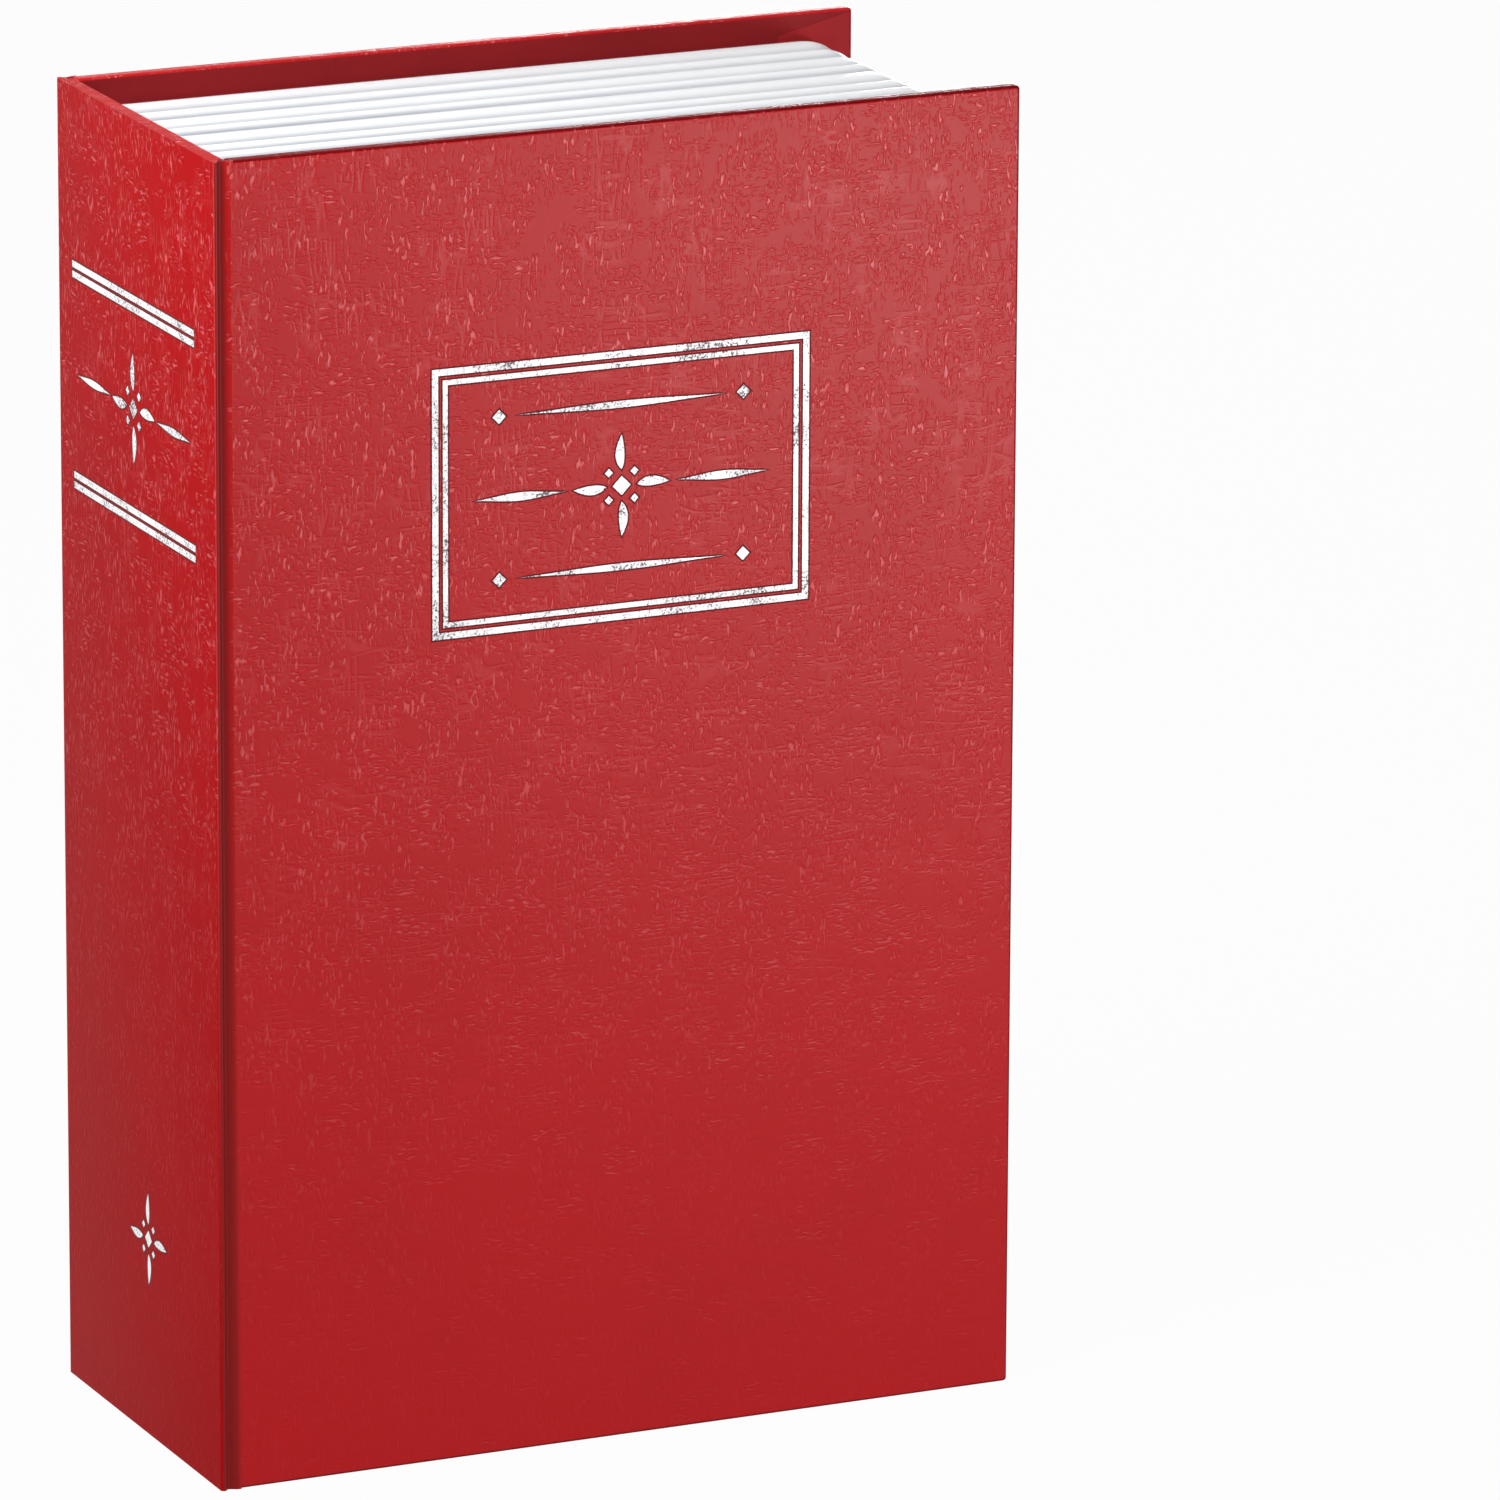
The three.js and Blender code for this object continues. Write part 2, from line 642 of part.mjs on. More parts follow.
// The plate on the lid's face, with a window for each wheel and a threaded barrel for the knob's shaft
function lockPlate() {
  const small = [lockWidth - 2 * lockBevel, lockHeight - 2 * lockBevel, lockCornerRadius - lockBevel / 2];
  const rings = [
    plateRing(...small, plateFrontY),
    plateRing(lockWidth, lockHeight, lockCornerRadius, plateFrontY + lockBevel),
    plateRing(lockWidth, lockHeight, lockCornerRadius, plateBackY),
  ];
  let plate = solidOf(loft(rings)).translate([lockX, 0, lockZ]);
  for (const z of wheelZ) {
    const half = wheelThickness / 2 + wheelGap / 2;
    plate = plate.subtract(rodZ(pocketRadius, z - half, z + half, 48).translate([lockX, wheelY, 0]));
  }
  plate = plate.subtract(rodZ(hubRadius + runningGap, ...stackZ).translate([lockX, wheelY, 0]));
  plate = plate.subtract(rodZ(spindleRadius + glueGap, ...seatZ).translate([lockX, wheelY, 0]));
  const barrelEnd = nutFrontY + nutThickness + glueGap;
  const barrel = rodY(barrelRadius, plateBackY - overrun, barrelEnd, 32);
  const barrelBore = rodY(shaftRadius + shaftBoreGap, plateFrontY - overrun, barrelEnd + overrun);
  plate = plate.add(barrel.translate([lockX, 0, knobZ])).subtract(barrelBore.translate([lockX, 0, knobZ]));
  const tappedY = [plateBackY - caseScrewBite - glueGap, plateBackY + overrun];
  for (const z of caseScrewZ) {
    plate = plate.subtract(rodY(caseScrewRadius + glueGap, ...tappedY, 16).translate([lockX, 0, z]));
  }
  return piece("lock_plate", plate, blackPlastic);
}

// The case behind the lid: it holds the wheels' spindle, and its ears clamp the plate to the lid
function lockCase() {
  const wide = [-caseHalfWidth, caseHalfWidth];
  const front = plateBackY + glueGap;
  const earFront = lidBackY + glueGap;
  let body = block(wide, [front, caseBackY], caseZ);
  const earHalf = caseScrewHeadRadius + caseWall;
  body = body.add(block([-earHalf, earHalf], [earFront, earFront + earThickness], earZ));
  body = body.subtract(rodZ(pocketRadius, ...stackZ, 48).translate([0, wheelY, 0]));
  const channel = [springY - 2 * glueGap - springThickness, springY + springThickness + glueGap];
  body = body.subtract(block([-springWidth / 2 - glueGap, springWidth / 2 + glueGap], channel, stackZ));
  const seat = spindleRadius + glueGap;
  body = body.subtract(rodZ(seat, ...seatZ).translate([0, wheelY, 0]));
  body = body.subtract(block([-seat, seat], [front - overrun, wheelY], seatZ));
  for (const z of caseScrewZ) {
    body = body.subtract(rodY(caseScrewRadius + glueGap, front, caseBackY, 16).translate([0, 0, z]));
  }
  const slot = (slideTravel + slideWidth) / 2 + runningGap;
  const slotY = [caseBackY - slideSeatDepth - runningGap, caseBackY + overrun];
  const slotZ = [slideZ - slideHeight / 2 - runningGap, slideZ + slideHeight / 2 + runningGap];
  body = body.subtract(block([-slot, slot], slotY, slotZ));
  return at(piece("lock_case", body, blackPlastic), lockX, 0, 0);
}

function caseScrews() {
  const profile = [
    [0, -(earThickness + sheet + 3 * glueGap + caseScrewBite)],
    [caseScrewRadius, -(earThickness + sheet + 3 * glueGap + caseScrewBite)],
    [caseScrewRadius, glueGap],
    [caseScrewHeadRadius, glueGap],
    [caseScrewHeadRadius, glueGap + caseScrewHeadHeight / 2],
    [caseScrewHeadRadius / 2, glueGap + caseScrewHeadHeight],
    [0, glueGap + caseScrewHeadHeight],
  ].map(([r, y]) => new THREE.Vector2(r, y));
  return caseScrewZ.map((z, i) => {
    const screw = piece("case_screw_" + (i + 1), new THREE.LatheGeometry(profile, 16), zincSteel);
    return at(screw, lockX, lidBackY + glueGap + earThickness, z);
  });
}

function wheelSpindle() {
  const rod = rodZ(spindleRadius, seatZ[0] + glueGap, seatZ[1] - glueGap, 20);
  return at(piece("wheel_spindle", rod, zincSteel), lockX, wheelY, 0);
}

// A leaf spring along the back of the wheels, with a finger for each
function detentSpring() {
  const reach = [stackZ[0] + glueGap, stackZ[1] - glueGap];
  let spring = block([-springWidth / 2, springWidth / 2], [0, springThickness], reach);
  for (const z of wheelZ.slice(1)) {
    const cut = z + wheelPitch / 2;
    const slitX = [-springWidth, springWidth / 4];
    const slitZ = [cut - glueGap, cut + glueGap];
    spring = spring.subtract(block(slitX, [-overrun, springThickness + overrun], slitZ));
  }
  return at(piece("detent_spring", spring, zincSteel), lockX, springY, 0);
}

// A wheel's outline: a flat for each number, with a notch between flats
function wheelOutline() {
  const step = (2 * Math.PI) / facetCount;
  const inset = facetNotchShare * step;
  const notch = wheelRadius - facetNotchDepth;
  const flatRadius = (wheelRadius * Math.cos(step / 2)) / Math.cos(step / 2 - inset);
  const points = [];
  for (let i = 0; i < facetCount; i++) {
    const start = i * step - step / 2 - Math.PI / 2;
    for (const [angle, radius] of [[0, notch], [inset, flatRadius], [step - inset, flatRadius]]) {
      points.push(new THREE.Vector2(radius * Math.cos(start + angle), radius * Math.sin(start + angle)));
    }
  }
  return new THREE.Shape(points);
}

function numberWheel(i) {
  const bore = spindleRadius + spindleBoreGap;
  const hubHalf = (wheelPitch - runningGap) / 2;
  const rim = extrudeZ(wheelOutline(), -wheelThickness / 2, wheelThickness / 2);
  const hub = rodZ(hubRadius, -hubHalf, hubHalf);
  const wheel = rim.add(hub).subtract(rodZ(bore, -wheelPitch, wheelPitch, 20));
  return at(piece("number_wheel_" + (i + 1), wheel, nickel), lockX, wheelY, wheelZ[i]);
}

// The knob: a skirt, a fluted grip and a rim round a shallow dish, with a turning arrow sunk in the dish.
// Made about its own axis, base at y = 0 and face towards -Y.
function knob() {
  const ring = (radius, y, flute) =>
    Array.from({ length: 2 * knobFlutes }, (_, i) => {
      const angle = (i / (2 * knobFlutes)) * 2 * Math.PI;
      const r = radius - (i % 2) * flute;
      return new THREE.Vector3(r * Math.cos(angle), y, r * Math.sin(angle));
    });
  const face = -knobHeight;
  const edge = knobRimWidth / 2;
  const dish = knobFaceRadius - edge - knobRimWidth;
  const rings = [
    ring(knobRadius, 0, 0),
    ring(knobRadius, -knobSkirtHeight, 0),
    ring(knobFaceRadius + knobFluteDepth, -knobSkirtHeight - knobRimWidth / 2, knobFluteDepth),
    ring(knobFaceRadius, face + edge, knobFluteDepth),
    ring(knobFaceRadius - edge, face, 0),
    ring(dish, face, 0),
    ring(dish - knobRimWidth / 2, face + knobDishDepth, 0),
  ];
  let body = solidOf(loft(rings));
  body = body.subtract(rodY(shaftRadius + glueGap, -shaftInKnob - glueGap, overrun));
  body = body.subtract(knobMarks(face + knobDishDepth));
  return at(piece("knob", body, blackPlastic), lockX, knobBaseY(), knobZ);
}

function knobBaseY() {
  return plateFrontY - runningGap;
}

// The marks sunk in the knob's dish: a bent arrow round the lower half, and a dot
function knobMarks(floorY) {
  const [inner, outer] = [arrowRadius - arrowWidth / 2, arrowRadius + arrowWidth / 2];
  const [from, to] = [Math.PI, 1.9 * Math.PI];
  const arrow = new THREE.Shape();
  arrow.absarc(0, 0, outer, from, to, false);
  arrow.absarc(0, 0, inner, to, from, true);
  const head = new THREE.Shape([
    new THREE.Vector2(-arrowRadius - arrowWidth, 0),
    new THREE.Vector2(-arrowRadius + arrowWidth, 0),
    new THREE.Vector2(-arrowRadius, 2 * arrowWidth),
  ]);
  const depth = [floorY - overrun, floorY + arrowDepth];
  const dot = rodY(dotRadius, ...depth, 16).translate([arrowRadius / 2, 0, arrowRadius / 2]);
  const marks = extrudeY(arrow, ...depth, 8).add(extrudeY(head, depth[0], depth[1] - glueGap));
  return marks.add(dot);
}

// The shaft from the knob to the cam: round in the barrel, square in the cam
function knobShaft() {
  const inKnob = knobBaseY() - shaftInKnob;
  const round = rodY(shaftRadius, inKnob, camFrontY - glueGap);
  const half = [-shaftSquare / 2, shaftSquare / 2];
  const squareEnd = block(half, [camFrontY - overrun, camBackY], half);
  const tappedY = [camBackY - camScrewLength - glueGap, camBackY + overrun];
  const tapped = rodY(camScrewRadius + glueGap, ...tappedY, 16);
  return at(piece("knob_shaft", round.add(squareEnd).subtract(tapped), zincSteel), lockX, 0, knobZ);
}

// The cam hangs down at rest, clear of the keeper, and turns to the fore edge to lock
function cam() {
  const outline = new THREE.Shape();
  const tip = camLength - camWidth / 2;
  const side = Math.asin(camWidth / 2 / camHeadRadius);
  outline.absarc(0, 0, camHeadRadius, -Math.PI / 2 + side, 1.5 * Math.PI - side, false);
  outline.absarc(0, -tip, camWidth / 2, Math.PI, 2 * Math.PI, false);
  outline.closePath();
  const hole = [-shaftSquare / 2 - glueGap, shaftSquare / 2 + glueGap];
  const squareHole = block(hole, [camFrontY - overrun, camBackY + overrun], hole);
  const plate = extrudeY(outline, camFrontY, camBackY, 8);
  return at(piece("cam", plate.subtract(squareHole), zincSteel), lockX, 0, knobZ);
}

function camWasher() {
  const front = camBackY + glueGap;
  const disc = rodY(camWasherRadius, front, front + camWasherThickness);
  const hole = rodY(camScrewRadius + glueGap, front - overrun, front + overrun, 16);
  return at(piece("cam_washer", disc.subtract(hole), zincSteel), lockX, 0, knobZ);
}

function camScrew() {
  const under = camBackY + camWasherThickness + 2 * glueGap;
  const head = rodY(camScrewHeadRadius, under, under + camScrewHeadHeight, 20);
  const shank = rodY(camScrewRadius, camBackY - camScrewLength, under + camScrewHeadHeight / 2, 16);
  const slot = block(
    [-camScrewHeadRadius, camScrewHeadRadius],
    [under + camScrewHeadHeight / 2, under + camScrewHeadHeight + overrun],
    [-camScrewHeadHeight / 3, camScrewHeadHeight / 3],
  );
  return at(piece("cam_screw", head.add(shank).subtract(slot), zincSteel), lockX, 0, knobZ);
}

function lockNut() {
  const nut = extrudeY(polygon(6, nutAcrossFlats), nutFrontY, nutFrontY + nutThickness);
  const bore = rodY(barrelRadius + glueGap, nutFrontY - overrun, nutFrontY + nutThickness + overrun, 32);
  return at(piece("lock_nut", nut.subtract(bore), zincSteel), lockX, 0, knobZ);
}

// The slide that frees the wheels for setting a code
function codeSlide() {
  const [x, z] = [slideWidth / 2, slideHeight / 2];
  const body = block([-x, x], [caseBackY - slideSeatDepth, caseBackY + slideProud], [-z, z]);
  return at(piece("code_slide", body, zincSteel), lockX - slideTravel / 2, 0, slideZ);
}

// The lid with its lock: the wheels turn on the spindle, and the shaft and the cam turn with the knob
function lid() {
  const knobAxis = new THREE.Vector3(lockX, 0, knobZ);
  const turning = swinging(knobAxis, knob(), knobShaft(), cam(), camWasher(), camScrew());
  const wheels = wheelZ.map((_, i) => numberWheel(i));
  const lock = [lockPlate(), lockCase(), wheelSpindle(), detentSpring(), lockNut(), ...caseScrews()];
  const hinge = new THREE.Vector3(hingeX, hingeY, 0);
  return swinging(hinge, lidPanel(), ...lock, ...wheels, codeSlide(), turning);
}

const bookSafe = new THREE.Group();
bookSafe.add(spineAndBack(), frontCover(), pageBlock(), steelBox(), ...boxScrews());
bookSafe.add(keeperAngle(), fixedHingeLeaf(), hingePin(), lid());

export default bookSafe;
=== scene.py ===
# %% [markdown]
# # A book safe, dressed in Blender
#
# The frame holds the safe's solids at their real size: a hardback case, a moulded block of mock pages and a
# steel box with a combination lock in its lid. This script gives them their finish: embossed leatherette,
# silver foil, ridged white pages, powder-coated steel and a glossy black lock.
#
# Everything is in metres, in the frame's own axes: +X runs from the spine to the fore edge, +Y from the
# front cover to the back cover, and +Z up the book.

import math

import bmesh
import bpy
from mathutils import Matrix, Vector


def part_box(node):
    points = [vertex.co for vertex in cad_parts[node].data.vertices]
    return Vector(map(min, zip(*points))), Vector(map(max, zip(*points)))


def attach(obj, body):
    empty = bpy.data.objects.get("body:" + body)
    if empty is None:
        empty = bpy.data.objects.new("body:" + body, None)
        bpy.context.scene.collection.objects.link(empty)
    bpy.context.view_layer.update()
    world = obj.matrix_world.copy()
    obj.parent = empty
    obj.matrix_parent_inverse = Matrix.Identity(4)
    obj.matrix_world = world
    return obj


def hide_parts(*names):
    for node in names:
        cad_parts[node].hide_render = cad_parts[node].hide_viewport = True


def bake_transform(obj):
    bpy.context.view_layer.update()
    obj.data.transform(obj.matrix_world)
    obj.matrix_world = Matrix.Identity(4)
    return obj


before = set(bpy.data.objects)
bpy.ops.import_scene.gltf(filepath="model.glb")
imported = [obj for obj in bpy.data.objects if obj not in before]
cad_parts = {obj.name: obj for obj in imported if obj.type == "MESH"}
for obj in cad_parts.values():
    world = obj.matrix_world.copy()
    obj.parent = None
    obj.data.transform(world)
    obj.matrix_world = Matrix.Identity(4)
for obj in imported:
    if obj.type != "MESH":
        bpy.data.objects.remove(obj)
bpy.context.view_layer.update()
MM = 0.001

# %% [markdown]
# ## Places
#
# The pieces made here are fitted to the frame's solids. So the planes of the case and of the pages are read
# from the solids' boxes, and mostly thicknesses, radii and the places of small figures are written down.

# %% Planes of the case and the pages
SPINE_LOW, SPINE_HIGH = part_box("spine_wrap")
FRONT_LOW, FRONT_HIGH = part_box("front_wrap")
BACK_LOW, BACK_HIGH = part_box("back_wrap")
PAGES_LOW, PAGES_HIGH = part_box("page_block")
FRONT_LINING_LOW, FRONT_LINING_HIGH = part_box("front_lining")
BACK_LINING_LOW, BACK_LINING_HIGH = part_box("back_lining")
SPINE_X = SPINE_LOW.x
FORE_X = FRONT_HIGH.x
FRONT_Y = FRONT_LOW.y
BACK_Y = BACK_HIGH.y
HEIGHT = FRONT_HIGH.z
GUTTER_X = SPINE_X + 1.15 * MM
print("closed book, mm:", [round(v / MM, 1) for v in (FORE_X - SPINE_X, BACK_Y - FRONT_Y, HEIGHT)])

# %% [markdown]
# ## Camera
#
# The photograph was taken with a long lens, from the spine's side and a little above. A long lens far away
# keeps the book's edges almost parallel. The camera looks along one line past the middle of the front
# cover, and it is moved sideways and up across that line until the book stands where the photograph has it.

# %% Camera
CAMERA_AZIMUTH = math.radians(-24.5)
CAMERA_ELEVATION = math.radians(15.6)
CAMERA_ROLL = math.radians(0.27)
CAMERA_DISTANCE = 1658 * MM
CAMERA_RIGHT = 17 * MM
CAMERA_UP = 5.25 * MM
CAMERA_LENS = 301.3


def camera_axes(azimuth, elevation):
    """The unit vectors that point to the camera's back, its right and its top."""
    back = Vector((
        math.sin(azimuth) * math.cos(elevation),
        -math.cos(azimuth) * math.cos(elevation),
        math.sin(elevation),
    ))
    right = Vector((math.cos(azimuth), math.sin(azimuth), 0))
    return back, right, back.cross(right)


back, right, up = camera_axes(CAMERA_AZIMUTH, CAMERA_ELEVATION)
cover_centre = Vector(((SPINE_X + FORE_X) / 2, FRONT_Y, HEIGHT / 2))
camera = bpy.data.objects.new("camera", bpy.data.cameras.new("camera"))
camera.data.lens = CAMERA_LENS
camera.data.clip_end = 20
camera.location = cover_centre + back * CAMERA_DISTANCE + right * CAMERA_RIGHT + up * CAMERA_UP
turned = Matrix((right, up, back)).transposed() @ Matrix.Rotation(CAMERA_ROLL, 3, "Z")
camera.rotation_euler = turned.to_euler()
bpy.context.collection.objects.link(camera)
bpy.context.scene.camera = camera
print("camera at, mm:", [round(v / MM) for v in camera.location])

# %% [markdown]
# ## A way to write materials
#
# A material is a graph of nodes, and most of a procedural one is arithmetic. It could be built by adding
# each Math node and each link by hand, but that hides the idea. So a small class wraps a socket and gives
# it Python's operators, and a mask can be written as a formula. Every other node comes from its one method,
# which takes the node's type, its settings and what goes into its sockets.

# %% A socket that reads like a number


class Socket:
    """An output socket in a node tree, with the operators that shader maths needs."""

    def __init__(self, tree, output=None):
        self.tree = tree
        self.output = output

    def node(self, kind, inputs=None, out=0, **settings):
        """Adds a node: its settings first, then the values or links of its sockets."""
        made = self.tree.nodes.new("ShaderNode" + kind)
        for name, value in settings.items():
            setattr(made, name, value)
        for key, value in (inputs or {}).items():
            if isinstance(value, Socket):
                self.tree.links.new(value.output, made.inputs[key])
            else:
                made.inputs[key].default_value = value
        return Socket(self.tree, made.outputs[out])

    def math(self, operation, *others):
        values = dict(enumerate((self, *others)))
        return self.node("Math", values, operation=operation)

    def __add__(self, other):
        return self.math("ADD", other)

    def __sub__(self, other):
        return self.math("SUBTRACT", other)

    def __rsub__(self, other):
        return self.node("Math", {0: other, 1: self}, operation="SUBTRACT")

    def __mul__(self, other):
        return self.math("MULTIPLY", other)

    __radd__ = __add__
    __rmul__ = __mul__

    def ramp(self, low, high):
        """0 below low, 1 above high, and smooth between them."""
        values = {"Value": self, "From Min": low, "From Max": high}
        return self.node("MapRange", values, interpolation_type="SMOOTHSTEP", clamp=True)

    def pick(self, low_colour, high_colour):
        """Mixes two colours by this value."""
        return self.node("Mix", {0: self, 6: low_colour, 7: high_colour}, out=2, data_type="RGBA")

    def moved(self, *offset):
        """A vector moved by an offset, so that a noise read there shows another part of its pattern."""
        return self.node("VectorMath", {0: self, 1: offset}, operation="ADD")

    def noise(self, detail=2.0, roughness=0.5, distortion=0.0):
        """Noise read at this vector, with features about one unit apart."""
        shape = {"Detail": detail, "Roughness": roughness, "Distortion": distortion}
        return self.node("TexNoise", {"Vector": self, "Scale": 1.0, **shape})


print("socket methods:", [name for name in vars(Socket) if not name.startswith("_")])

# %% [markdown]
# A few helpers do what every material here needs: take colours as a picture shows them, start a material,
# and set its shader's sockets. Noises could be read in a UV map, but its scale differs from piece to piece.
# They are read where a point lies in the object instead, in metres, so a pattern has one size everywhere.

# %% Helpers for materials


def srgb(red, green, blue):
    """A colour as a picture shows it, 0 to 255, as the linear colour that a shader takes."""
    def linear(value):
        value /= 255
        return value / 12.92 if value <= 0.04045 else ((value + 0.055) / 1.055) ** 2.4
    return (linear(red), linear(green), linear(blue), 1)


def material(name):
    """A new material, a start for its nodes, and its Principled shader."""
    made = bpy.data.materials.new(name)
    made.use_nodes = True
    return made, Socket(made.node_tree), made.node_tree.nodes["Principled BSDF"]


def wire(start, shader, **sockets):
    """Sets or links the shader's sockets, where an underscore stands for a space."""
    for name, value in sockets.items():
        socket = shader.inputs[name.replace("_", " ")]
        if isinstance(value, Socket):
            start.tree.links.new(value.output, socket)
        else:
            socket.default_value = value


def object_place(start):
    """Where a point lies in the object's own coordinates, in metres."""
    return start.node("TexCoord", out=3)


def spread(start, x, y=None, z=None):
    """The place, with each axis divided by a length that becomes the noise's unit. One length serves all."""
    shares = (1 / x, 1 / (y or x), 1 / (z or x))
    return start.node("VectorMath", {0: object_place(start), 1: shares}, operation="MULTIPLY")


def bump(start, height, depth):
    """A normal from a height of 0 to 1 that stands for a depth in metres."""
    return start.node("Bump", {"Height": height, "Distance": depth})


print("mid grey as a shader takes it:", [round(value, 3) for value in srgb(128, 128, 128)])

# %% [markdown]
# ## Light and backdrop
#
# The photograph is a studio picture on pure white. More light would turn a grey floor white, but it would
# bleach the book too. So the floor and the world show white to the camera and to glossy surfaces, and
# otherwise light the object only at a plain level. The floor's shader is mixed with white, not replaced by
# it, so that the book keeps its soft shadow.

# %% Backdrop
WHITE = (1, 1, 1, 1)
FLOOR_GREY = (0.4, 0.4, 0.4, 1)
FLOOR_SIZE = 8.0
FLOOR_WHITE_SHARE = 0.97
WORLD_LEVEL = 0.19


def seen_directly(start):
    """1 for rays from the camera and for rays that come off gloss or through glass, otherwise 0."""
    rays = [start.node("LightPath", out=f"Is {kind} Ray") for kind in ("Camera", "Glossy", "Transmission")]
    return rays[0].math("MAXIMUM", rays[1]).math("MAXIMUM", rays[2])


def end_in_mix(start, output, share, plain, white):
    """Ends a node tree in a mix of two shaders."""
    mixed = start.node("MixShader", {0: share, 1: plain, 2: white})
    start.tree.links.new(mixed.output, start.tree.nodes[output].inputs["Surface"])


floor_paper, start, shader = material("floor_paper")
wire(start, shader, Base_Color=FLOOR_GREY, Roughness=0.9, Specular_IOR_Level=0.0)
lit = Socket(start.tree, shader.outputs[0])
white = start.node("Emission", {"Color": WHITE, "Strength": 1.0})
end_in_mix(start, "Material Output", seen_directly(start) * FLOOR_WHITE_SHARE, lit, white)
bpy.ops.mesh.primitive_plane_add(size=FLOOR_SIZE, location=(0, 0, 0))
floor = bpy.context.object
floor.name = "floor"
floor.data.materials.append(floor_paper)

world = bpy.data.worlds.new("studio")
bpy.context.scene.world = world
world.use_nodes = True
start = Socket(world.node_tree)
dim = start.node("Background", {"Color": WHITE, "Strength": WORLD_LEVEL})
white = start.node("Background", {"Color": WHITE, "Strength": 1.0})
end_in_mix(start, "World Output", seen_directly(start), dim, white)
print("floor and world white, world light:", WORLD_LEVEL)

# %% [markdown]
# Three lamps model what the photograph shows: a key high at the spine's side, which makes the spine and the
# upper edges bright, a small low lamp at the right that lights the lower right of the front and lays a soft
# sheen on it, and a broad one overhead for the pages. A fourth stands low behind the book, so that its back
# and fore edge are lit about as well as its front. Its narrow spread keeps it from making a bright patch on
# the floor. Area lamps are used because, unlike point lamps or a sun, their size makes the shadows soft.

# %% Lamps


def soft_lamp(name, place, size, watts, fan=180):
    """A square area lamp that faces the book's middle. Its light fans out by an angle in degrees."""
    lamp = bpy.data.lights.new(name, "AREA")
    lamp.size = size
    lamp.energy = watts
    lamp.spread = math.radians(fan)
    made = bpy.data.objects.new(name, lamp)
    made.location = place
    made.rotation_euler = (Vector(place) - Vector((0, 0, HEIGHT / 2))).to_track_quat("Z", "Y").to_euler()
    bpy.context.collection.objects.link(made)
    return made


lamps = [
    soft_lamp("key", (-0.3, -0.12, 0.45), size=0.2, watts=2.7),
    soft_lamp("sheen", (0.23, -0.42, 0.08), size=0.1, watts=1.1),
    soft_lamp("top", (0.2, 0.2, 1.5), size=0.8, watts=1.4),
    soft_lamp("behind", (0.45, 0.75, 0.14), size=0.25, watts=0.5, fan=50),
]
bpy.context.scene.view_settings.view_transform = "Standard"
print("lamps:", [lamp.name for lamp in lamps])

# %% [markdown]
# ## Leatherette
#
# The case is wrapped in red leatherette: paper with a plastic film, embossed by a roller. Its grain is made
# of small worms pressed into the film, which stand in short columns and rows with smooth film between them,
# and of a few long creases. The worms of a column run up the book and those of a row run across it.
#
# A picture of leatherette could be laid on the boards, but it would show seams and repeats. Noises have
# neither, so each family of worms is a stretched noise of which only the peaks are kept, masked by clusters
# from a cell pattern. The roller burnishes the film where it presses, so the worms are a little shinier than
# the rest, and their crests are painted paler as a painted highlight. They are pressed less deep towards the
# foot, as in the photograph, and the painted highlight fades there with them.

# %% Grain of the leatherette
WORM = 0.4 * MM
WORM_LENGTH = 1.2 * MM
WORM_PEAKS = (0.5, 0.74)
WORM_WRIGGLE = 0.5
CREASE = 1.3 * MM
CREASE_LENGTH = 9 * MM
CREASE_THINNESS = 11
CREASE_SHARE = 0.35
CREASE_AREAS = (0.48, 0.6)
PATCH = 3.2 * MM
PATCH_LENGTH = 6.5 * MM
PATCH_EDGES = (0.66, 0.4)


def crests(noise, thinness):
    """Thin rounded crests where a noise crosses its middle value."""
    near = (1 - (noise - 0.5).math("ABSOLUTE") * thinness).math("MAXIMUM", 0.0)
    return near * near * (3 - near * 2)


def clusters(place):
    """Soft-edged blots, one in each cell about a unit wide, so that no gap between them grows large."""
    near = place.node("TexVoronoi", {"Vector": place, "Scale": 1.0, "Randomness": 0.9})
    return near.ramp(*PATCH_EDGES)


def leather_press(start):
    """How deep the film is pressed, 0 to 1: worms in columns and rows, and a few long creases."""
    columns = clusters(spread(start, PATCH, PATCH, PATCH_LENGTH))
    rows = clusters(spread(start, PATCH_LENGTH, PATCH_LENGTH, PATCH).moved(7.3, 4.1, 9.7))
    up = spread(start, WORM, WORM, WORM_LENGTH)
    across = spread(start, WORM_LENGTH, WORM_LENGTH, WORM).moved(3.7, 1.9, 8.1)
    upright, level = [run.noise(0.5, distortion=WORM_WRIGGLE).ramp(*WORM_PEAKS) for run in (up, across)]
    worms = (upright * columns).math("MAXIMUM", level * rows * (1 - columns * 0.7))
    up = spread(start, CREASE, CREASE, CREASE_LENGTH).moved(5.1, 2.2, 6.3)
    across = spread(start, CREASE_LENGTH, CREASE_LENGTH, CREASE).moved(1.4, 9.2, 4.8)
    up_creases, cross_creases = [crests(run.noise(0.0), CREASE_THINNESS) for run in (up, across)]
    creased = spread(start, PATCH_LENGTH).noise(1.0).ramp(*CREASE_AREAS)
    return worms.math("MAXIMUM", up_creases.math("MAXIMUM", cross_creases) * creased * CREASE_SHARE)


print("worms, mm:", WORM / MM, "by", WORM_LENGTH / MM, "in patches of", PATCH / MM, "by", PATCH_LENGTH / MM)
